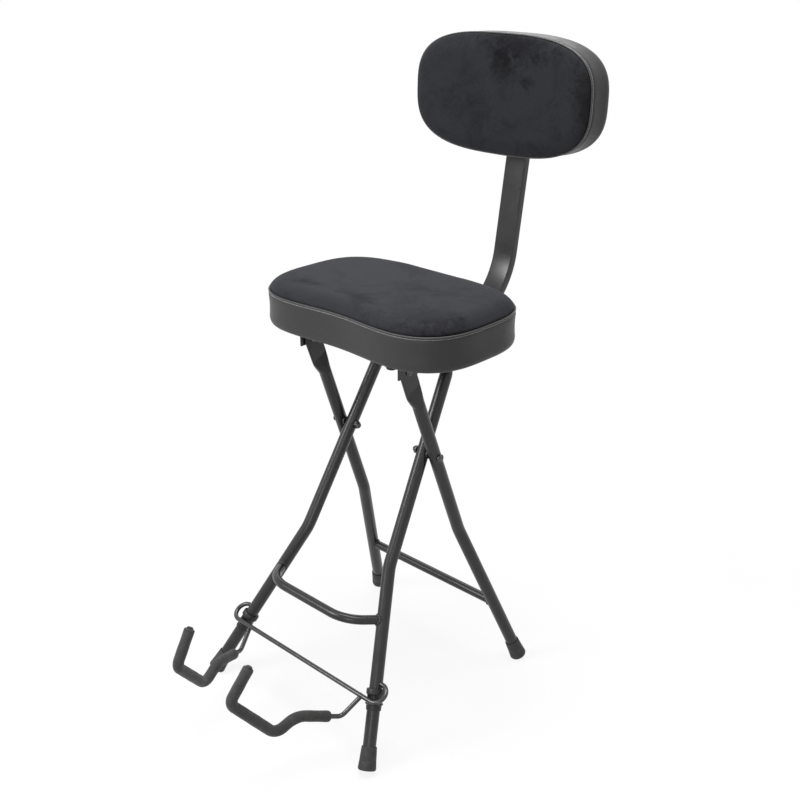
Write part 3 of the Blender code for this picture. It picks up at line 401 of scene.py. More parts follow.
def bent_path(corners, bends, step=0.004):
    """Straight runs joined by arcs, as evenly spaced points. bends holds one radius for each inner corner."""
    corners = np.asarray(corners, float)
    share = np.linspace(0, 1, ARC_POINTS)[:, None]
    runs = [corners[:1]]
    for before, corner, after, bend in zip(corners, corners[1:], corners[2:], bends):
        back, ahead = unit(before - corner), unit(after - corner)
        half = math.acos(float(np.clip(back @ ahead, -1, 1))) / 2
        centre = corner + unit(back + ahead) * bend / math.sin(half)
        first = corner + back * bend / math.tan(half) - centre
        last = corner + ahead * bend / math.tan(half) - centre
        turn = math.pi - 2 * half
        arc = first * np.sin((1 - share) * turn) + last * np.sin(share * turn)
        runs.append(centre + arc / math.sin(turn))
    runs.append(corners[-1:])
    path = np.vstack(runs)
    return even_points(path, max(3, int(reach_along(path)[-1] / step)))


def directions(path, closed=False):
    """Unit tangents of a path, from the difference of each point's neighbours."""
    if closed:
        return unit(np.roll(path, -1, axis=0) - np.roll(path, 1, axis=0))
    return unit(np.gradient(path, axis=0))


def sweep(path, outline, reference, ahead=None):
    """A profile carried along a path: point + a * across + b * other.

    across is the reference made square to the path's direction, and other is square to both. outline is
    (n, 2), or (m, n, 2) where the profile changes along the path.
    """
    if ahead is None:
        ahead = directions(path)
    across = unit(reference - ahead * (ahead @ np.asarray(reference, float))[:, None])
    other = np.cross(ahead, across)
    outline = np.broadcast_to(outline, (len(path),) + np.shape(outline)[-2:])
    return path[:, None] + across[:, None] * outline[..., :1] + other[:, None] * outline[..., 1:]


def steel_tube(name, path, radius, reference, body, replaced):
    """A powder-coated round tube along a path."""
    rings = sweep(path, circle(radius, TUBE_SIDES), reference)
    piece(name, rings, STEEL, body, replaced=replaced)


def cradle_wire(name, path, reference, replaced):
    """A round wire of the cradle along a path."""
    rings = sweep(path, circle(WIRE_RADIUS, WIRE_SIDES), reference)
    piece(name, rings, WIRE_COAT, "cradle", replaced=replaced)


def turned(name, base, axis, profile, floor=None, **settings):
    """A profile of (radius, height) turned round an axis. Points under a floor are lifted onto it."""
    axis = unit(axis)
    radius, height = np.transpose(profile)
    path = base + axis * height[:, None]
    ahead = np.tile(axis, (len(path), 1))
    rings = sweep(path, circle(radius, TURNED_SIDES), np.cross(axis, X_AXIS + Y_AXIS * 0.3), ahead)
    if floor is not None:
        rings[..., 2] = np.maximum(rings[..., 2], floor)
    piece(name, rings, sharp=30, **settings)


def leg_axis(height, side, pivot_x, knee, upper_splay, lower_splay, lean):
    """A point on a bent leg's axis at a height over the floor.

    Above and below the knee, x goes out with the tangent of that run's splay. y goes back with the lean's.
    """
    lower, upper = min(height, knee), max(height, knee)
    x = pivot_x + (PIVOT[2] - upper) * math.tan(upper_splay) + (knee - lower) * math.tan(lower_splay)
    return np.array((side * x, PIVOT[1] + (height - PIVOT[2]) * math.tan(lean), height))


def front_axis(height, side=1):
    """A point on a front leg's axis."""
    splays = FRONT_UPPER_SPLAY, FRONT_LOWER_SPLAY
    return leg_axis(height, side, FRONT_PIVOT_X, FRONT_KNEE_HEIGHT, *splays, FRONT_LEAN)


def rear_axis(height, side=1):
    """A point on a rear leg's axis."""
    splays = REAR_UPPER_SPLAY, REAR_LOWER_SPLAY
    return leg_axis(height, side, REAR_PIVOT_X, REAR_KNEE_HEIGHT, *splays, -REAR_LEAN)


# Shader groups

def new_group(name, inputs, outputs):
    """An empty shader group. inputs are numbers by name, and outputs the kinds of socket by name."""
    tree = bpy.data.node_groups.new(name, "ShaderNodeTree")
    for label, value in inputs.items():
        socket = tree.interface.new_socket(label, in_out="INPUT", socket_type="NodeSocketFloat")
        socket.default_value = value
    for label, kind in outputs.items():
        tree.interface.new_socket(label, in_out="OUTPUT", socket_type="NodeSocket" + kind)
    return tree, tree.nodes.new("NodeGroupInput").outputs, tree.nodes.new("NodeGroupOutput").inputs


def add_node(tree, kind, links=None, **settings):
    """A node with its settings, and its inputs linked or set by name or number."""
    made = tree.nodes.new(kind)
    for key, value in settings.items():
        setattr(made, key, value)
    for key, value in (links or {}).items():
        if isinstance(value, bpy.types.NodeSocket):
            tree.links.new(value, made.inputs[key])
        else:
            made.inputs[key].default_value = value
    return made


def own_place(tree):
    """A piece's Object coordinates, which are the stool's own."""
    return add_node(tree, "ShaderNodeTexCoord").outputs["Object"]


def noise(tree, place, scale, detail, roughness=0.5, distortion=0.0, output="Fac"):
    """What a noise puts out at a place."""
    links = {
        "Vector": place, "Scale": scale, "Detail": detail, "Roughness": roughness, "Distortion": distortion,
    }
    return add_node(tree, "ShaderNodeTexNoise", links).outputs[output]


def spread(tree, value, low, high, to_low=0.0, to_high=1.0, smooth=False):
    """A value's range from low to high carried over to another range, straight or as a smooth step."""
    links = {"Value": value, "From Min": low, "From Max": high, "To Min": to_low, "To Max": to_high}
    kind = "SMOOTHSTEP" if smooth else "LINEAR"
    return add_node(tree, "ShaderNodeMapRange", links, interpolation_type=kind).outputs["Result"]


def combine(tree, operation, first, second, third=0.0, clamp=False):
    """Two or three values put together by a Math node."""
    links = {0: first, 1: second, 2: third}
    return add_node(tree, "ShaderNodeMath", links, operation=operation, use_clamp=clamp).outputs["Value"]


def bumped(tree, given, height):
    """The normal of a height, with a group's own strength and depth."""
    links = {"Strength": given["Strength"], "Distance": given["Depth"], "Height": height}
    return add_node(tree, "ShaderNodeBump", links).outputs["Normal"]


def unevenness_group():
    """Low to high, in soft patches of a given size: a noise spread over the range."""
    values = {"Scale": 20.0, "Low": 0.0, "High": 1.0}
    tree, given, result = new_group("unevenness", values, {"Value": "Float"})
    patches = noise(tree, own_place(tree), given["Scale"], 4.0, 0.6)
    tree.links.new(spread(tree, patches, 0.32, 0.68, given["Low"], given["High"]), result["Value"])
    return tree


def relief_group():
    """A normal from a fine noise, such as the skin of powder coat, foam or moulded rubber."""
    values = {"Scale": 800.0, "Strength": 0.2, "Depth": 0.0002}
    tree, given, result = new_group("fine_relief", values, {"Normal": "Vector"})
    height = noise(tree, own_place(tree), given["Scale"], 3.0, 0.55)
    tree.links.new(bumped(tree, given, height), result["Normal"])
    return tree


def grain_group():
    """The creased cells of leathercloth: a normal, and a mask of painted shade that is dark in the creases.

    The cells' edges wander, because their place is moved by a noise.
    """
    values = {"Scale": 900.0, "Strength": 0.3, "Depth": 0.0003}
    tree, given, result = new_group("leather_grain", values, {"Normal": "Vector", "Crease": "Float"})
    place = own_place(tree)
    warp = noise(tree, place, 260.0, 2.0, output="Color")
    shifted = add_node(tree, "ShaderNodeVectorMath", {0: warp, 1: (GRAIN_WANDER,) * 3}, operation="MULTIPLY")
    moved = add_node(tree, "ShaderNodeVectorMath", {0: place, 1: shifted.outputs["Vector"]}, operation="ADD")
    cells = add_node(
        tree, "ShaderNodeTexVoronoi", {"Vector": moved.outputs["Vector"], "Scale": given["Scale"]},
        feature="DISTANCE_TO_EDGE",
    )
    raised = spread(tree, cells.outputs["Distance"], 0.0, 0.22, smooth=True)
    tree.links.new(bumped(tree, given, raised), result["Normal"])
    tree.links.new(raised, result["Crease"])
    return tree


GROUPS = {"unevenness": unevenness_group(), "relief": relief_group(), "grain": grain_group()}


def use_group(tree, name, **values):
    """A group placed in a material with its own values."""
    made = tree.nodes.new("ShaderNodeGroup")
    made.node_tree = GROUPS[name]
    for key, value in values.items():
        made.inputs[key.title()].default_value = value
    return made


def principled(name, roughness, metallic=0.0, specular=0.5, **sockets):
    """A material and its Principled shader, with what is the same all over set on the shader."""
    material = bpy.data.materials.new(name)
    material.use_nodes = True
    tree = material.node_tree
    shader = tree.nodes["Principled BSDF"]
    shader.inputs["Roughness"].default_value = roughness
    shader.inputs["Metallic"].default_value = metallic
    shader.inputs["Specular IOR Level"].default_value = specular
    for key, value in sockets.items():
        shader.inputs[key.replace("_", " ").title()].default_value = value
    return material, tree, shader


def two_tone(tree, shader, mask, first, second):
    """The base colour goes from one tone to another with a mask."""
    mix = add_node(tree, "ShaderNodeMix", {0: mask, 6: (*first, 1), 7: (*second, 1)}, data_type="RGBA")
    tree.links.new(mix.outputs[2], shader.inputs["Base Color"])


def grey(value, blue=0.0):
    """A grey tone, a little bluer where blue is given."""
    return value, value, value + blue


def skinned(name, roughness, skin, patches, dark, light, **sockets):
    """A material with a fine skin, (group, scale, strength, depth), and tones in soft patches of one scale.

    Where patches is 0, the tone is dark in the skin's creases instead, as painted shade.
    """
    material, tree, shader = principled(name, roughness, **sockets)
    group, scale, strength, depth = skin
    surface = use_group(tree, group, scale=scale, strength=strength, depth=depth).outputs
    tree.links.new(surface["Normal"], shader.inputs["Normal"])
    if patches:
        mask = use_group(tree, "unevenness", scale=patches).outputs["Value"]
    else:
        # Painted shade: the tone is darker in the skin's creases.
        mask = surface["Crease"]
    two_tone(tree, shader, mask, dark, light)
    return material


def uneven_gloss(material, scale, low, high):
    """The material's roughness goes from low to high in soft patches."""
    tree = material.node_tree
    rough = use_group(tree, "unevenness", scale=scale, low=low, high=high)
    tree.links.new(rough.outputs["Value"], tree.nodes["Principled BSDF"].inputs["Roughness"])
    return material


def coated_steel(name, low, high, peel, specular):
    """Black powder coat: an orange-peel skin, and roughness from low to high in soft patches."""
    skin = ("relief", 900.0, peel, 0.0001)
    material = skinned(
        name, (low + high) / 2, skin, 60.0, grey(0.0110, 0.0005), grey(0.0175, 0.0005), specular=specular
    )
    return uneven_gloss(material, 34.0, low, high)


def leathercloth(name, roughness, specular, dark, light):
    """Black leathercloth: creased grain, and a soft gloss that varies along the band."""
    # The grain's creases are darker, as painted shade.
    material = skinned(name, roughness, ("grain", 1000.0, 0.20, 0.0002), 0, dark, light, specular=specular)
    return uneven_gloss(material, 22.0, roughness - 0.05, roughness + 0.07)


def brushed_pile_sheen_mark(tree, place, ragged, mark):
    """A mark's mask: an ellipse torn by noise, which fades out over the outer fifth of its radius."""
    # Pile brushed the other way is real, but its changed sheen is painted here as darker colour.
    centre, half, turn, depth = mark
    spot = add_node(
        tree, "ShaderNodeMapping", {"Vector": place, "Location": centre, "Rotation": turn, "Scale": half},
        vector_type="TEXTURE",
    )
    fall = add_node(
        tree, "ShaderNodeTexGradient", {"Vector": spot.outputs["Vector"]}, gradient_type="SPHERICAL"
    ).outputs["Fac"]
    torn = combine(tree, "MULTIPLY_ADD", ragged, 2.2, fall)
    part = spread(tree, torn, 1.18, 2.00, 0.0, depth, smooth=True)
    return combine(tree, "MULTIPLY", part, spread(tree, fall, 0.0, 0.22, smooth=True))


def velvet(name, marks):
    """Short-pile black velvet, darker in clouds and where the pile was brushed the other way.

    The brushed marks' changed sheen is painted into the colour as darker patches.
    marks are (centre, half sizes, turn about Z or Y, depth).
    """
    material, tree, shader = principled(
        name, 0.88, specular=0.15, sheen_weight=0.06, sheen_roughness=0.45, sheen_tint=(0.55, 0.58, 0.66, 1)
    )
    place = own_place(tree)
    ragged = noise(tree, place, 75.0, 7.0, 0.72, 0.5)
    total = spread(tree, noise(tree, place, 17.0, 6.0, 0.68, 0.7), 0.42, 0.68, 0.0, 0.40, smooth=True)
    for mark in marks:
        total = combine(tree, "ADD", total, brushed_pile_sheen_mark(tree, place, ragged, mark))
    pepper = spread(tree, noise(tree, place, 330.0, 4.0, 0.75), 0.3, 0.7, -VELVET_PEPPER, VELVET_PEPPER)
    two_tone(tree, shader, combine(tree, "ADD", total, pepper, clamp=True), VELVET_LIGHT, VELVET_DARK)
    pile = use_group(tree, "relief", scale=1300.0, strength=0.45, depth=0.0004)
    tree.links.new(pile.outputs["Normal"], shader.inputs["Normal"])
    return material


def plywood():
    """Plywood: long grain that runs along X."""
    material, tree, shader = principled("plywood", 0.7)
    along = add_node(tree, "ShaderNodeMapping", {"Vector": own_place(tree), "Scale": (0.08, 1.0, 1.0)})
    grain = noise(tree, along.outputs["Vector"], 320.0, 5.0)
    two_tone(tree, shader, grain, (0.30, 0.19, 0.10), (0.56, 0.42, 0.26))
    return material


def placed(marks, shift):
    """Marks whose centres are moved by a shift."""
    return [(tuple(np.add(centre, shift)), half, turn, depth) for centre, half, turn, depth in marks]


STEEL = coated_steel("satin_powder_coat", 0.27, 0.34, 0.035, 0.42)
WIRE_COAT = coated_steel("glossy_wire_coat", 0.20, 0.26, 0.03, 0.75)
ZINC = skinned(
    "dark_zinc_plate", 0.34, ("relief", 1700.0, 0.2, 0.0001), 170.0, grey(0.045, 0.002), grey(0.13, 0.005),
    metallic=1.0,
)
RUBBER = skinned(
    "moulded_rubber", 0.58, ("relief", 1500.0, 0.35, 0.00015), 90.0, grey(0.020), grey(0.034), specular=0.35
)
PLASTIC = skinned(
    "satin_plastic", 0.40, ("relief", 2200.0, 0.25, 0.0001), 70.0, grey(0.014, 0.001), grey(0.021, 0.001),
    specular=0.3,
)
FOAM = skinned(
    "closed_cell_foam", 0.78, ("grain", 1100.0, 0.35, 0.00025), 80.0, grey(0.026), (0.044, 0.043, 0.042),
    specular=0.35, sheen_weight=0.15, sheen_roughness=0.5,
)
# Leathercloth and its piping are darker in the grain's creases, as painted shade.
LEATHER = leathercloth("black_leathercloth", 0.42, 0.17, grey(0.035), grey(0.050, 0.001))
PIPING = leathercloth("leathercloth_piping", 0.36, 0.40, grey(0.028, 0.001), grey(0.048, 0.002))
THREAD = skinned("grey_thread", 0.6, ("relief", 3000.0, 0.4, 0.0001), 300.0, grey(0.28), grey(0.44))
# The dust cloth is darker in the grain's creases, as painted shade.
DUST_CLOTH = skinned(
    "black_dust_cloth", 0.9, ("grain", 620.0, 0.4, 0.0002), 0, grey(0.010), grey(0.020), specular=0.2
)
WOOD = plywood()
SEAT_VELVET = velvet("seat_velvet", placed(SEAT_PILE_SHEEN_MARKS, (0, PIVOT[1], SEAT_UNDERSIDE + SEAT_BAND)))
BACK_VELVET = velvet("back_velvet", placed(BACK_PILE_SHEEN_MARKS, (0, PIVOT[1] + BACK_FACE_Y, BACK_CENTRE_HEIGHT)))
SLOT_MATERIALS = {
    "black_steel": STEEL, "dark_zinc": ZINC, "black_rubber": RUBBER, "black_plastic": PLASTIC,
    "black_foam": FOAM, "black_velvet": SEAT_VELVET, "plywood": WOOD,
}
SLOTS = {material.name: slot for slot, material in SLOT_MATERIALS.items()}
SLOTS[WIRE_COAT.name] = "black_steel"
SLOTS[BACK_VELVET.name] = "black_velvet"


def dress_nodes():
    """Gives each node of the frame its slot's material."""
    for entry in frame["record"]["subparts"]:
        node = frame["nodes"][entry["node"]]
        node.data.materials.clear()
        node.data.materials.append(SLOT_MATERIALS[entry["material_slot"]])


# Frames

def make_front_frame():
    """One bent tube: up a leg, along the top bar and down the other leg, all in the leaning plane."""
    low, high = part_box("front_top_bar")
    right = [front_axis(height) for height in (LEG_END_HEIGHT, FRONT_KNEE_HEIGHT, (low.z + high.z) / 2)]
    left = [point * MIRROR for point in right[::-1]]
    path = bent_path(right + left, (KNEE_BEND, FRONT_TOP_BEND, FRONT_TOP_BEND, KNEE_BEND))
    square = np.array((0.0, math.cos(FRONT_LEAN), -math.sin(FRONT_LEAN)))
    replaced = "front_leg_right", "front_leg_left", "front_top_bar"
    steel_tube("front_frame_tube", path, LEG_RADIUS, square, "front_frame", replaced)


def flattened(reach, side):
    """Profiles of a rear leg's top, at distances from the rivet's eye, where minus is below it.

    Over the neck, each point goes straight from the tube's radius to half the flat's thickness and width,
    and the outline's squareness n rises: |a / thick| ** n + |b / wide| ** n = 1. The neck is longer towards
    the rear edge, which tilts the crease where the flat begins. The end is a half circle.
    """
    c, s = circle(1.0, FLAT_SIDES).T
    neck = FLAT_NECK + CREASE_TILT * side * s
    share = np.clip((reach[:, None] + FLAT_BELOW + FLAT_NECK) / neck, 0, 1)
    thick = LEG_RADIUS + (FLAT_THICK / 2 - LEG_RADIUS) * share
    wide = LEG_RADIUS + (FLAT_WIDTH / 2 - LEG_RADIUS) * share
    past = np.clip(reach, 0, FLAT_END)[:, None]
    wide = np.where(past > 0, np.sqrt((FLAT_WIDTH / 2) ** 2 - past**2), wide)
    power = 2 / (2 + (FLAT_SQUARENESS - 2) * share**2)
    return np.stack([signed_power(c, power) * thick, signed_power(s, power) * wide], axis=-1)


def make_rear_legs():
    """Bent tubes whose tops are pressed flat, with a sharp crease where the flat begins."""
    along = np.array((0.0, -math.sin(REAR_LEAN), math.cos(REAR_LEAN)))
    neck_reach = -FLAT_BELOW - FLAT_NECK
    blend = np.linspace(0, 1, 25)[1:]
    flat_reach = np.concatenate([np.linspace(-FLAT_BELOW + 0.0012, 0, 32), np.linspace(0.002, FLAT_END, 8)])
    for word, side in SIDES:
        neck = rear_axis(SEAT_AXIS[2] + neck_reach, side)
        lower = [rear_axis(LEG_END_HEIGHT, side), rear_axis(REAR_KNEE_HEIGHT, side), neck]
        lower = bent_path(lower, (KNEE_BEND,))
        eye = np.array((side * (rear_axis(SEAT_AXIS[2])[0] + FLAT_OFFSET), SEAT_AXIS[1], SEAT_AXIS[2]))
        middle = neck + (eye - along * FLAT_BELOW - neck) * blend[:, None]
        path = np.vstack([lower, middle, eye + along * flat_reach[:, None]])
        reach = np.concatenate([np.full(len(lower), neck_reach), neck_reach + FLAT_NECK * blend, flat_reach])
        piece(
            f"rear_leg_tube_{word}", sweep(path, flattened(reach, side), X_AXIS * side), STEEL, "rear_frame",
            sharp=FLAT_SHARP, replaced=(f"rear_leg_{word}",),
        )


def weld_bead(name, body, start, along, leg_point, leg_along):
    """A bead round the seam of a bar and a leg.

    For each turn about the bar's axis, the bar's surface line start + s * along meets the leg where its
    distance from the leg's axis is the leg's radius: the smaller root of a quadratic in s. The bead's size
    ripples.
    """
    along, leg_along = unit(along), unit(leg_along)
    ring = sweep(start[None], circle(BAR_RADIUS, WELD_SIDES), np.cross(along, leg_along), along[None])[0]
    away = ring - leg_point
    away = away - leg_along * (away @ leg_along)[:, None]
    flat = along - leg_along * (along @ leg_along)
    a, b, c = flat @ flat, away @ flat, (away * away).sum(1) - LEG_RADIUS**2
    path = ring + along * ((-b - np.sqrt(np.maximum(b * b - a * c, 0))) / a)[:, None]
    turn = turns(WELD_SIDES)
    ripple = BEAD_RADIUS * (1 + 0.10 * np.sin(turn * 17) + 0.08 * np.sin(turn * 5 + 1))
    rings = sweep(path, circle(ripple, BEAD_SIDES), along, directions(path, closed=True))
    piece(name, rings, STEEL, body, loop=True)


def weld_both(kind, body, *places):
    """A bead on the right, whose places are given, and one on the left."""
    for word, side in SIDES:
        own = np.array((side, 1, 1))
        weld_bead(f"{kind}_weld_{word}", body, *(place * own for place in places))


def make_footrest():
    """The U-bent bar in front of the legs, welded to their fronts."""
    weld = front_axis(FOOTREST_HEIGHT - FOOTREST_WELD_DROP)
    corner = np.array((FOOTREST_CORNER_X, weld[1] - FOOTREST_REACH, FOOTREST_HEIGHT))
    path = bent_path([weld, corner, corner * MIRROR, weld * MIRROR], (FOOTREST_BEND, FOOTREST_BEND))
    away = [np.linalg.norm(path - end, axis=1) for end in (weld, weld * MIRROR)]
    path = path[np.min(away, axis=0) >= LEG_RADIUS * BAR_END_SHARE]
    steel_tube("footrest_bar", path, BAR_RADIUS, Z_AXIS, "front_frame", ("footrest",))
    leg_along = front_axis(FOOTREST_HEIGHT) - front_axis(FOOTREST_HEIGHT - LEG_RADIUS)
    weld_both("footrest", "front_frame", (weld + corner) / 2, weld - corner, weld, leg_along)


def make_rear_bar():
    """The straight bar between the rear legs, with its welds."""
    point = rear_axis(REAR_BAR_HEIGHT)
    inner = point - X_AXIS * LEG_RADIUS * BAR_END_SHARE
    path = bent_path([inner, inner * MIRROR], ())
    steel_tube("rear_bar", path, BAR_RADIUS, Z_AXIS, "rear_frame", ("rear_cross_bar",))
    leg_along = rear_axis(REAR_BAR_HEIGHT + LEG_RADIUS) - point
    weld_both("rear_bar", "rear_frame", point - X_AXIS * LEG_RADIUS * 4, X_AXIS, point, leg_along)


def foot_wall(share):
    """The radius of a foot's wall, straight from the sole's to the top's."""
    return FOOT_SOLE_RADIUS + (FOOT_TOP_RADIUS - FOOT_SOLE_RADIUS) * share


def foot_profile():
    """(radius, height) points of a foot: up its socket, over the lip, down the wall and round the sole.

    The mould line is a fine groove in the wall.
    """
    socket = LEG_RADIUS + CLEAR
    return [
        (socket, FOOT_SOLE), (socket, FOOT_LENGTH - 0.0006), (socket + 0.0004, FOOT_LENGTH),
        *[(FOOT_TOP_RADIUS - inside, FOOT_LENGTH - below) for inside, below in FOOT_LIP],
        (foot_wall(0.72), FOOT_LENGTH * 0.72),
        (foot_wall(0.46), FOOT_LINE_HEIGHT + FOOT_LINE_HALF),
        (foot_wall(0.42) - FOOT_LINE_DEPTH, FOOT_LINE_HEIGHT),
        (foot_wall(0.40), FOOT_LINE_HEIGHT - FOOT_LINE_HALF),
        (foot_wall(0.2), FOOT_LENGTH * 0.22),
        *[(FOOT_SOLE_RADIUS - inside, above) for inside, above in FOOT_EDGE],
        (FOOT_SOLE_RADIUS * 0.4, 0.0),
    ]


def make_feet(kind, axis_point, body):
    """Rubber feet, whose rounded soles the floor flattens."""
    for word, side in SIDES:
        along = unit(axis_point(0.02, side) - axis_point(0.0, side))
        height = FOOT_SOLE_RADIUS * math.sqrt(1 - along[2] ** 2) - FOOT_FLAT
        turned(
            f"{kind}_rubber_foot_{word}", axis_point(height, side), along, foot_profile(), floor=0.0,
            material=RUBBER, body=body, replaced=(f"{kind}_foot_{word}",),
        )


def cross_wire_place():
    """The cross wire's axis in the stool's middle plane, where the wire lies in the collars' grooves."""
    spacing = COLLAR_GROOVE_RADIUS + CLEAR + WIRE_RADIUS
    angle = FRONT_LEAN + math.asin(spacing / CRADLE_LOOP_OD)
    return CRADLE_AXIS * MIDDLE - np.array((0.0, math.sin(angle), math.cos(angle))) * CRADLE_LOOP_OD


def make_collars():
    """Plastic collars with a round-bottomed groove for the cross wire and a thin flange at each end."""
    bore = LEG_RADIUS + CLEAR
    lift = COLLAR_RADIUS - COLLAR_GROOVE_RADIUS
    turn = np.linspace(math.pi / 2, -math.pi / 2, 9)
    offset = cross_wire_place() - CRADLE_AXIS * MIDDLE
    for word, side in SIDES:
        hinge = front_axis(CRADLE_AXIS[2], side)
        down = unit(front_axis(0.0, side) - hinge)
        flat_down = unit(down * MIDDLE)
        middle = (offset @ flat_down) * (flat_down @ down)
        low = middle + COLLAR_GROOVE / 2
        groove = [
            COLLAR_GROOVE_RADIUS + lift * (1 - np.cos(turn)), middle - COLLAR_GROOVE / 2 * np.sin(turn)
        ]
        profile = [
            (bore, COLLAR_TOP), (COLLAR_RADIUS - COLLAR_EDGE, COLLAR_TOP),
            (COLLAR_RADIUS - COLLAR_EDGE * 0.3, COLLAR_TOP + COLLAR_EDGE * 0.3),
            (COLLAR_RADIUS, COLLAR_TOP + COLLAR_EDGE), *np.transpose(groove),
            (COLLAR_RADIUS, low + COLLAR_EDGE), (COLLAR_RADIUS - 0.0006, low + COLLAR_EDGE * 1.6),
            (COLLAR_GROOVE_RADIUS + 0.0004, low + COLLAR_EDGE * 2.2),
            (COLLAR_GROOVE_RADIUS, COLLAR_BOTTOM - 0.0006), (COLLAR_GROOVE_RADIUS - 0.0006, COLLAR_BOTTOM),
            (bore, COLLAR_BOTTOM),
        ]
        turned(
            f"cradle_collar_{word}", hinge, down, profile, loop=True, material=PLASTIC, body="front_frame",
            replaced=(f"leg_collar_{word}",),
        )


# Guitar cradle

def make_cross_wire():
    """The cross wire: a half loop at each end leads back into the leg's hole on the hinge axis."""
    hinge, wire = CRADLE_AXIS * MIDDLE, cross_wire_place()
    past = X_AXIS * (front_axis(CRADLE_AXIS[2])[0] + CRADLE_LOOP_PAST_LEG)
    half = (wire - hinge) / 2
    turn = np.linspace(0, math.pi, 33)[:, None]
    loop = half * np.cos(turn) + X_AXIS * np.linalg.norm(half) * np.sin(turn)
    right = np.vstack([(hinge + wire) / 2 + past + loop, hinge + past - X_AXIS * CRADLE_TAIL])
    path = np.vstack([(right * MIRROR)[::-1], right])
    cradle_wire("cradle_cross_wire", path, unit(np.cross(X_AXIS, half)), ("cradle_wire",))


def arm_places(side, wire):
    """The ends and bends of an arm, and where its first run touches the cross wire from below."""
    weld_x = front_axis(CRADLE_AXIS[2])[0] - CRADLE_WELD_INSIDE_LEG
    bends = wire + np.array(ARM_BEND_SHARES) * (weld_x * side, -CRADLE_REACH, CRADLE_RISE)
    spacing = 2 * WIRE_RADIUS + CLEAR
    back = (wire - bends[0]) * MIDDLE
    length = np.linalg.norm(back)
    swing = np.array(Matrix.Rotation(-math.asin(spacing / length), 3, "X"))
    touch = bends[0] + swing @ unit(back) * math.sqrt(length**2 - spacing**2)
    touch[0] = side * weld_x
    start = touch + unit(touch - bends[0]) * 2 * WIRE_RADIUS * ARM_OVERRUN_SHARE
    return np.vstack([start, bends]), touch


def make_cradle_arms():
    """Each arm's bare wire, its foam sleeve, and its weld to the cross wire."""
    wire = cross_wire_place()
    for word, side in SIDES:
        places, touch = arm_places(side, wire)
        path = bent_path(places, (CRADLE_WIRE_BEND, CRADLE_WIRE_BEND) + CRADLE_FOAM_BENDS, step=0.002)
        cradle_wire(f"cradle_arm_wire_{word}", path, X_AXIS, (f"cradle_arm_{word}",))
        make_foam(word, bent_path(places[2:], CRADLE_FOAM_BENDS, step=0.0015))
        make_arm_weld(word, np.array((touch[0], *(touch[1:] + wire[1:]) / 2)))


def make_arm_weld(word, centre):
    """A small ripple-edged blob that fills the corner between arm and cross wire: a squashed sphere."""
    lat = np.linspace(-math.pi / 2 * 0.96, math.pi / 2 * 0.96, 14)[:, None]
    lon = turns(28)
    size = WIRE_RADIUS * (1.12 + 0.05 * np.sin(3 * lon) + 0.04 * np.sin(7 * lon + 1))
    x = np.sin(lat) * WIRE_RADIUS * 1.3 + 0 * lon
    y, z = np.cos(lat) * np.cos(lon) * size, np.cos(lat) * np.sin(lon) * size
    rings = centre + np.stack([x, y, z], axis=-1)
    piece(f"cradle_weld_{word}", rings, WIRE_COAT, "cradle")


def make_foam(word, path):
    """A foam sleeve whose cut end is square, and whose tip is closed by a small button.

    Its rings go along the bore from the tip to the cut end, back along the uneven skin and over the button.
    """
    tip_ahead = unit(path[-1] - path[-2])
    tip = path[-1] + tip_ahead * FOAM_SKIN * np.linspace(0.1, 1, 6)[:, None]
    outer = np.vstack([path, tip])
    button = outer[-1] + tip_ahead * FOAM_SKIN * np.array(BUTTON_HEIGHTS)[:, None]
    along = np.linspace(0, 1, len(outer))
    skin = 1 + 0.012 * np.sin(along * 61) + 0.010 * np.sin(along * 23 + 2)
    skin[:3] = FOAM_CUT
    skin[-4:] = FOAM_TIP
    bore = np.full(len(path), WIRE_RADIUS + CLEAR)
    bore[-1] *= 1.02
    radius = np.concatenate([bore, FOAM_RADIUS * skin, FOAM_RADIUS * np.array(BUTTON_RADII)])
    ahead = [directions(path)[::-1], directions(outer), np.tile(tip_ahead, (len(button), 1))]
    rings = sweep(
        np.vstack([path[::-1], outer, button]), circle(radius, FOAM_SIDES), X_AXIS, ahead=np.vstack(ahead)
    )
    sleeve = piece(f"foam_sleeve_{word}", rings, FOAM, "cradle", sharp=50, replaced=(f"cradle_foam_{word}",))


# Covers and cushions

def seat_curve(turn, inset):
    """The seat's outline: a superellipse, squarer behind, whose front half has a Gaussian waist."""
    c, s = np.cos(turn), np.sin(turn)
    front = s < 0
    power = 2 / np.where(front, SEAT_FRONT_SQUARENESS, SEAT_REAR_SQUARENESS)
    x = signed_power(c, power) * (SEAT_HALF_LENGTH - inset)
    depth = np.where(front, SEAT_FRONT_DEPTH, SEAT_REAR_DEPTH) - inset
    waist = SEAT_WAIST * depth / SEAT_FRONT_DEPTH * np.exp(-((x / SEAT_WAIST_HALF) ** 2))
    y = signed_power(s, power) * (depth - np.where(front, waist, 0))
    return np.stack([x, y], axis=-1)


def back_curve(turn, inset):
    """The backrest's outline, a superellipse."""
    x = signed_power(np.cos(turn), 2 / BACK_SQUARENESS) * (BACK_HALF_LENGTH - inset)
    y = signed_power(np.sin(turn), 2 / BACK_SQUARENESS) * (BACK_HALF_HEIGHT - inset)
    return np.stack([x, y], axis=-1)


def even_ring(curve, inset, count):
    """Points of an outline at even distances along it."""
    outline = curve(np.linspace(0, 2 * math.pi, OUTLINE_POINTS), inset)
    return even_points(outline, count, endpoint=False)


def rings_of(curve, stations, count):
    """Rings of an outline at (inset, height) stations."""
    rings = [(even_ring(curve, inset, count), np.full(count, height)) for inset, height in stations]
    return np.array([np.column_stack(ring) for ring in rings])


def seat_place(points):
    """Cushion coordinates (x, y, height) of the seat in the stool's own."""
    return points + np.array((0.0, PIVOT[1], SEAT_UNDERSIDE))


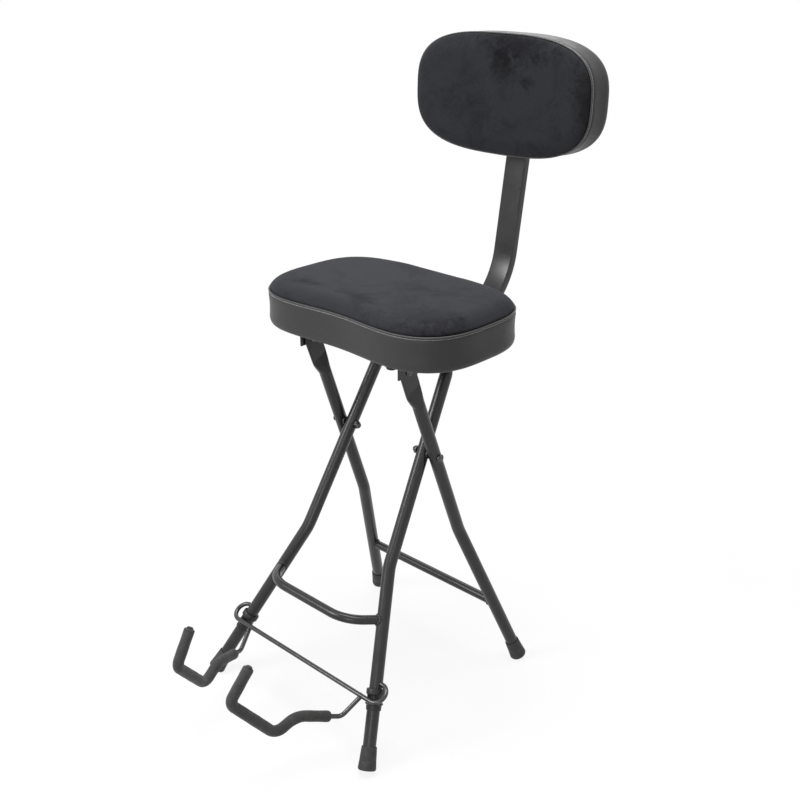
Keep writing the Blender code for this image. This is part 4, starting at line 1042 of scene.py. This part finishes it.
def back_place(points):
    """Cushion coordinates (x, up, depth) of the backrest in the stool's own, leaned back about X."""
    up = np.array((0.0, math.sin(BACK_LEAN), math.cos(BACK_LEAN)))
    out = np.array((0.0, -math.cos(BACK_LEAN), math.sin(BACK_LEAN)))
    base = np.array((0.0, PIVOT[1] + BACK_FACE_Y, BACK_CENTRE_HEIGHT)) - out * BACK_BAND
    return base + points[..., :1] * X_AXIS + points[..., 1:2] * up + points[..., 2:] * out


def cover_profile(band):
    """(inset, height) points round the band's section.

    An elliptic lower edge, a wall drawn in by a cubic, a stitched groove, a lip and the inner wall.
    """
    turn = np.linspace(math.pi / 2, 0, 7)
    lower = np.stack([COVER_TURN * (1 - np.cos(turn)), COVER_EDGE * (1 - np.sin(turn))], axis=-1)
    height = np.linspace(COVER_EDGE, band - 0.0095, 9)[1:]
    share = (height - COVER_EDGE) / (height[-1] - COVER_EDGE)
    wall = np.stack([COVER_DRAW * 4 * share * (1 - share), height], axis=-1)
    groove = ((0.25, 0.0016), (0.85, 0.0006), (1.0, 0.0), (0.85, -0.0006), (0.3, -0.0015))
    groove = [(GROOVE_DEPTH * depth, band - STITCH_DROP - drop) for depth, drop in groove]
    top = band - WELT_DROP - WELT_RADIUS * 0.55
    lip = ((0.0003, top - 0.0004), (0.0012, top), (WELT_INSET + WELT_RADIUS * 0.6, top))
    inner = ((COVER_WALL, band - 0.005), (COVER_WALL, band / 2), (COVER_WALL, 0.0004))
    return np.vstack([lower, wall, groove, lip, inner])


def make_cover(name, curve, place, band, body):
    """The leathercloth band, turned in under the board and folded to a lip under the piping.

    Near its stitched line the outline goes out and in as a sine, fading as a Gaussian of the height.
    """
    rings = rings_of(curve, cover_profile(band), COVER_SIDES)
    near = np.exp(-(((rings[..., 2] - band + STITCH_DROP) / PUCKER_REACH) ** 2))
    outward = unit((rings - rings.mean(axis=1, keepdims=True)) * (1, 1, 0) + 1e-9)
    pucker = PUCKER * np.sin(turns(COVER_SIDES) * PUCKERS)
    rings = rings + outward * (near * pucker)[..., None]
    piece(name, place(rings), LEATHER, body, loop=True, sharp=60)


def make_piping(name, curve, place, band, body):
    """The round piping sewn between band and velvet: a circle carried round the outline."""
    stations = circle(WELT_RADIUS, PIPING_SIDES) + (WELT_INSET, band - WELT_DROP)
    piece(name, place(rings_of(curve, stations, COVER_SIDES)), PIPING, body, loop=True, sharp=180)


def crown_height(inset, crown, plateau):
    """Height over the seam at an inset from it: crown * (1 - (1 - u) ** 2.6) ** 0.45, u = inset / plateau."""
    u = np.clip(inset / plateau, 0, 1)
    return crown * (1 - (1 - u) ** 2.6) ** 0.45


def pad_stations(band, crown, plateau, reach):
    """(inset, height) points of a pad's section, from its base up the hidden wall and over the crown.

    Just over the piping the shoulder bulges out by the overhang.
    """
    start = WELT_INSET + WELT_RADIUS + CLEAR
    hidden = (
        (start + 0.02, band * 0.45), (start + 0.004, band * 0.45), (start + 0.0012, band * 0.47),
        (start + 0.0008, band * 0.6), (start, band - 0.003), (start, band + 0.0004),
    )
    over = np.concatenate([plateau * np.linspace(0, 1, 18)[1:] ** 2, np.linspace(plateau, reach, 10)[1:]])
    height = crown_height(over, crown, plateau)
    out = PAD_OVERHANG * smooth_step(height, 0.0004, 0.0035)
    return np.vstack([hidden, np.column_stack([start + over - out, band + height])])


def blown_copy(pad):
    """A voxel copy of a pad blown up by inner pressure as Cloth: its points at rest, and their moves."""
    copy = new_object("blown", pad.data.copy())
    remesh = copy.modifiers.new("even", "REMESH")
    remesh.mode = "VOXEL"
    remesh.voxel_size = VOXEL
    graph = bpy.context.evaluated_depsgraph_get()
    mesh = bpy.data.meshes.new_from_object(copy.evaluated_get(graph))
    copy.modifiers.clear()
    copy.data = mesh
    rest = points_of(mesh)
    cloth = copy.modifiers.new("stuffed", "CLOTH")
    for key, value in CLOTH.items():
        setattr(cloth.settings, key, value)
    cloth.settings.effector_weights.gravity = 0
    cloth.point_cache.frame_start, cloth.point_cache.frame_end = 1, CLOTH_FRAMES
    for number in range(1, CLOTH_FRAMES + 1):
        bpy.context.scene.frame_set(number)
    graph = bpy.context.evaluated_depsgraph_get()
    blown = points_of(copy.evaluated_get(graph).data)
    bpy.context.scene.frame_set(1)
    move = spread_out(mesh, blown - rest, CLOTH_SMOOTHING)
    bpy.data.objects.remove(copy)
    return rest, move


def spread_out(mesh, values, times):
    """Each point's vector becomes the mean of its neighbours', a number of times over."""
    ends = rows_of(mesh.edges, "vertices", 2, np.int32)
    near = np.vstack([ends, ends[:, ::-1]]).T
    count = np.bincount(near[0], minlength=len(values))[:, None]
    for _ in range(times):
        total = [np.bincount(near[0], values[near[1], k], len(values)) for k in range(3)]
        values = np.stack(total, axis=-1) / count
    return values


def swell_cloth(pad, seam, out, swell):
    """Moves a pad's points as the nearest points of its blown copy: none at the seam, and swell at most."""
    rest, move = blown_copy(pad)
    tree = KDTree(len(rest))
    for number, point in enumerate(rest):
        tree.insert(point, number)
    tree.balance()
    own = points_of(pad.data)
    near = np.array([[found[1] for found in tree.find_n(point, CLOTH_NEIGHBOURS)] for point in own])
    weight = 1 / (np.linalg.norm(rest[near] - own[:, None], axis=2, keepdims=True) + VOXEL)
    move = (move[near] * weight).sum(1) / weight.sum(1)
    size = np.linalg.norm(move, axis=1, keepdims=True)
    free = smooth_step((own - seam) @ out, 0.001, 0.010)[:, None]
    own += move * np.minimum(1, swell * free / np.maximum(size, 1e-9))
    pad.data.vertices.foreach_set("co", own.astype(np.float32).ravel())
    pad.data.update()


def make_pad(name, curve, place, band, body, stations, swell, velvet, replaced):
    """The padded velvet panel: a crowned closed form, blown up a little as cloth over the seam's height."""
    rings = rings_of(curve, stations, PAD_SIDES)
    pad = piece(name, place(rings), velvet, body, sharp=180)
    seam, over = place(np.array(((0.0, 0.0, band), (0.0, 0.0, band + 1.0))))
    swell_cloth(pad, seam, over - seam, swell)
    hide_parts(replaced)


def make_stitches(name, curve, place, band, body):
    """Short capsules of thread in the groove under the seam, one each pitch along the outline."""
    length = reach_along(curve(np.linspace(0, 2 * math.pi, OUTLINE_POINTS), 0.0))[-1]
    count = int(length / STITCH_PITCH)
    ring = even_ring(curve, GROOVE_DEPTH * 0.75, count)
    centre = np.column_stack([ring, np.full(count, band - STITCH_DROP)])
    ahead = directions(centre, closed=True)
    out = np.cross(ahead, Z_AXIS)
    along = centre[:, None] + ahead[:, None] * (np.array(STITCH_SHARES) * STITCH_LENGTH / 2)[:, None]
    section = circle(np.array(STITCH_SIZES) * STITCH_RADIUS, THREAD_SIDES)
    points = along[:, :, None] + out[:, None, None] * section[..., :1] + Z_AXIS * section[..., 1:]
    rows, sides = section.shape[:2]
    starts = np.arange(count)[:, None] * rows * sides
    faces = (grid_faces(rows, sides, False) + starts[..., None]).reshape(-1, 4).tolist()
    cap = np.arange(sides)
    faces += (starts + cap[::-1]).tolist() + (starts + (rows - 1) * sides + cap).tolist()
    mesh_piece(name, place(points.reshape(-1, 3)), faces, THREAD, body, sharp=180)


def make_lining(name, curve, place, body):
    """The thin dust cloth stretched over a board's hidden face: the outline's slab, a fan on each side."""
    stations = [(COVER_TURN, -LINING_GAP), (COVER_TURN, -LINING_GAP - LINING_THICK)]
    rings = rings_of(curve, stations, LINING_SIDES)
    lining = piece(name, place(rings), DUST_CLOTH, body, sharp=60)


def make_cushion(word, body, curve, place, band, stations, swell, velvet):
    """Band, piping, pad, stitching and dust cloth of the seat or of the backrest."""
    sewn = curve, place, band, body
    make_cover(f"{word}_band", *sewn)
    make_piping(f"{word}_piping", *sewn)
    make_pad(f"{word}_pad", *sewn, stations, swell, velvet, f"{word}_cushion")
    make_stitches(f"{word}_stitching", *sewn)
    make_lining(f"{word}_lining", curve, place, body)


def rounded_rectangle(width, height, edge, steps=7):
    """A rectangle's outline with quarter circles at its corners."""
    centres = np.array(((1, 1), (-1, 1), (-1, -1), (1, -1))) * (width / 2 - edge, height / 2 - edge)
    turn = (np.linspace(0, math.pi / 2, steps) + np.arange(4)[:, None] * math.pi / 2).ravel()
    return np.repeat(centres, steps, axis=0) + edge * np.stack([np.cos(turn), np.sin(turn)], axis=-1)


def make_post():
    """The flat post: along under the seat, up behind it, and up again behind the pad."""
    gap = 2 * CLEAR + BACK_PLATE_THICK + POST_THICK / 2
    rise = POST_ABOVE_NECK + BACK_PLATE_HEIGHT / 2
    neck, top = back_place(np.array(((0.0, -BACK_HALF_HEIGHT, -gap), (0.0, rise - BACK_HALF_HEIGHT, -gap))))
    post_z = SEAT_UNDERSIDE - POST_DROP
    foot = (0.0, neck[1] - (neck[2] - post_z) * math.tan(POST_LEAN), post_z)
    path = bent_path([(0.0, POST_FRONT, post_z), foot, neck, top], (POST_BEND, POST_NECK_BEND), step=0.003)
    rings = sweep(path, rounded_rectangle(POST_WIDTH, POST_THICK, POST_EDGE), X_AXIS)
    piece("backrest_post_tube", rings, STEEL, "backrest", sharp=50, replaced=("backrest_post",))


# Camera, light and floor

def make_camera():
    """The camera at the photograph's place, counted from the scissor bolt."""
    a, e = CAMERA_AZIMUTH, CAMERA_ELEVATION
    back = Vector((math.sin(a) * math.cos(e), -math.cos(a) * math.cos(e), math.sin(e)))
    right = Vector((math.cos(a), math.sin(a), 0))
    up = back.cross(right)
    rolled_right = right * math.cos(CAMERA_ROLL) + up * math.sin(CAMERA_ROLL)
    rolled_up = up * math.cos(CAMERA_ROLL) - right * math.sin(CAMERA_ROLL)
    matrix = Matrix((rolled_right, rolled_up, back)).transposed().to_4x4()
    aim = Vector(CAMERA_AIM) + Vector((0, PIVOT[1], 0))
    matrix.translation = aim + back * CAMERA_DISTANCE
    camera = new_object("camera", bpy.data.cameras.new("camera"))
    camera.matrix_world = matrix
    camera.data.sensor_width = SENSOR
    camera.data.lens = CAMERA_LENS
    camera.data.clip_start = 0.02
    bpy.context.scene.camera = camera


def area_light(name, place, aim, size, power):
    """A square soft light that faces a point."""
    data = bpy.data.lights.new(name, "AREA")
    data.energy = power
    data.size = size
    light = new_object(name, data)
    light.location = place
    light.rotation_euler = (Vector(aim) - Vector(place)).to_track_quat("-Z", "Y").to_euler()


def seen_rays(tree):
    """1 for rays from the camera, off gloss or through glass, and 0 for the others."""
    rays = add_node(tree, "ShaderNodeLightPath").outputs
    first = combine(tree, "MAXIMUM", rays["Is Camera Ray"], rays["Is Glossy Ray"])
    return combine(tree, "MAXIMUM", first, rays["Is Transmission Ray"])


def make_surround():
    """A world that looks white and lights the stool at its own level."""
    world = bpy.data.worlds.new("studio")
    bpy.context.scene.world = world
    world.use_nodes = True
    tree = world.node_tree
    background = tree.nodes["Background"].inputs
    background["Color"].default_value = (1, 1, 1, 1)
    tree.links.new(spread(tree, seen_rays(tree), 0.0, 1.0, WORLD_LEVEL, 1.0), background["Strength"])


def make_floor():
    """A pale floor: white where it is seen from afar, and with the stool's shadow near it."""
    corners = np.array(((-1, -1, 0), (1, -1, 0), (1, 1, 0), (-1, 1, 0))) * FLOOR_HALF
    mesh = bpy.data.meshes.new("floor")
    mesh.from_pydata(corners.tolist(), [], [(0, 1, 2, 3)])
    floor = new_object("floor", mesh)
    material, tree, shader = principled("pale_floor", 0.9, specular=0.1)
    shader.inputs["Base Color"].default_value = (*grey(FLOOR_TONE), 1)
    glow = add_node(tree, "ShaderNodeEmission")
    far = add_node(tree, "ShaderNodeVectorMath", {0: own_place(tree)}, operation="LENGTH").outputs["Value"]
    level = spread(tree, far, SHADOW_NEAR, SHADOW_FAR, FLOOR_GLOW, 1.0, smooth=True)
    share = combine(tree, "MULTIPLY", seen_rays(tree), level)
    mix = add_node(
        tree, "ShaderNodeMixShader", {0: share, 1: shader.outputs["BSDF"], 2: glow.outputs["Emission"]}
    )
    tree.links.new(mix.outputs["Shader"], tree.nodes["Material Output"].inputs["Surface"])
    floor.data.materials.append(material)


bpy.context.scene.view_settings.view_transform = "Standard"
make_camera()
make_surround()
make_floor()
for light in LIGHTS:
    area_light(*light)
dress_nodes()
make_front_frame()
make_rear_legs()
make_footrest()
make_rear_bar()
make_feet("front", front_axis, "front_frame")
make_feet("rear", rear_axis, "rear_frame")
make_collars()
make_cross_wire()
make_cradle_arms()
make_post()
make_cushion(
    "seat", "seat", seat_curve, seat_place, SEAT_BAND,
    pad_stations(SEAT_BAND, SEAT_CROWN, SEAT_PLATEAU, SEAT_REAR_DEPTH * PAD_REACH), SEAT_SWELL, SEAT_VELVET,
)
make_cushion(
    "back", "backrest", back_curve, back_place, BACK_BAND,
    pad_stations(BACK_BAND, BACK_CROWN, BACK_PLATEAU, BACK_HALF_HEIGHT * PAD_REACH), BACK_SWELL, BACK_VELVET,
)
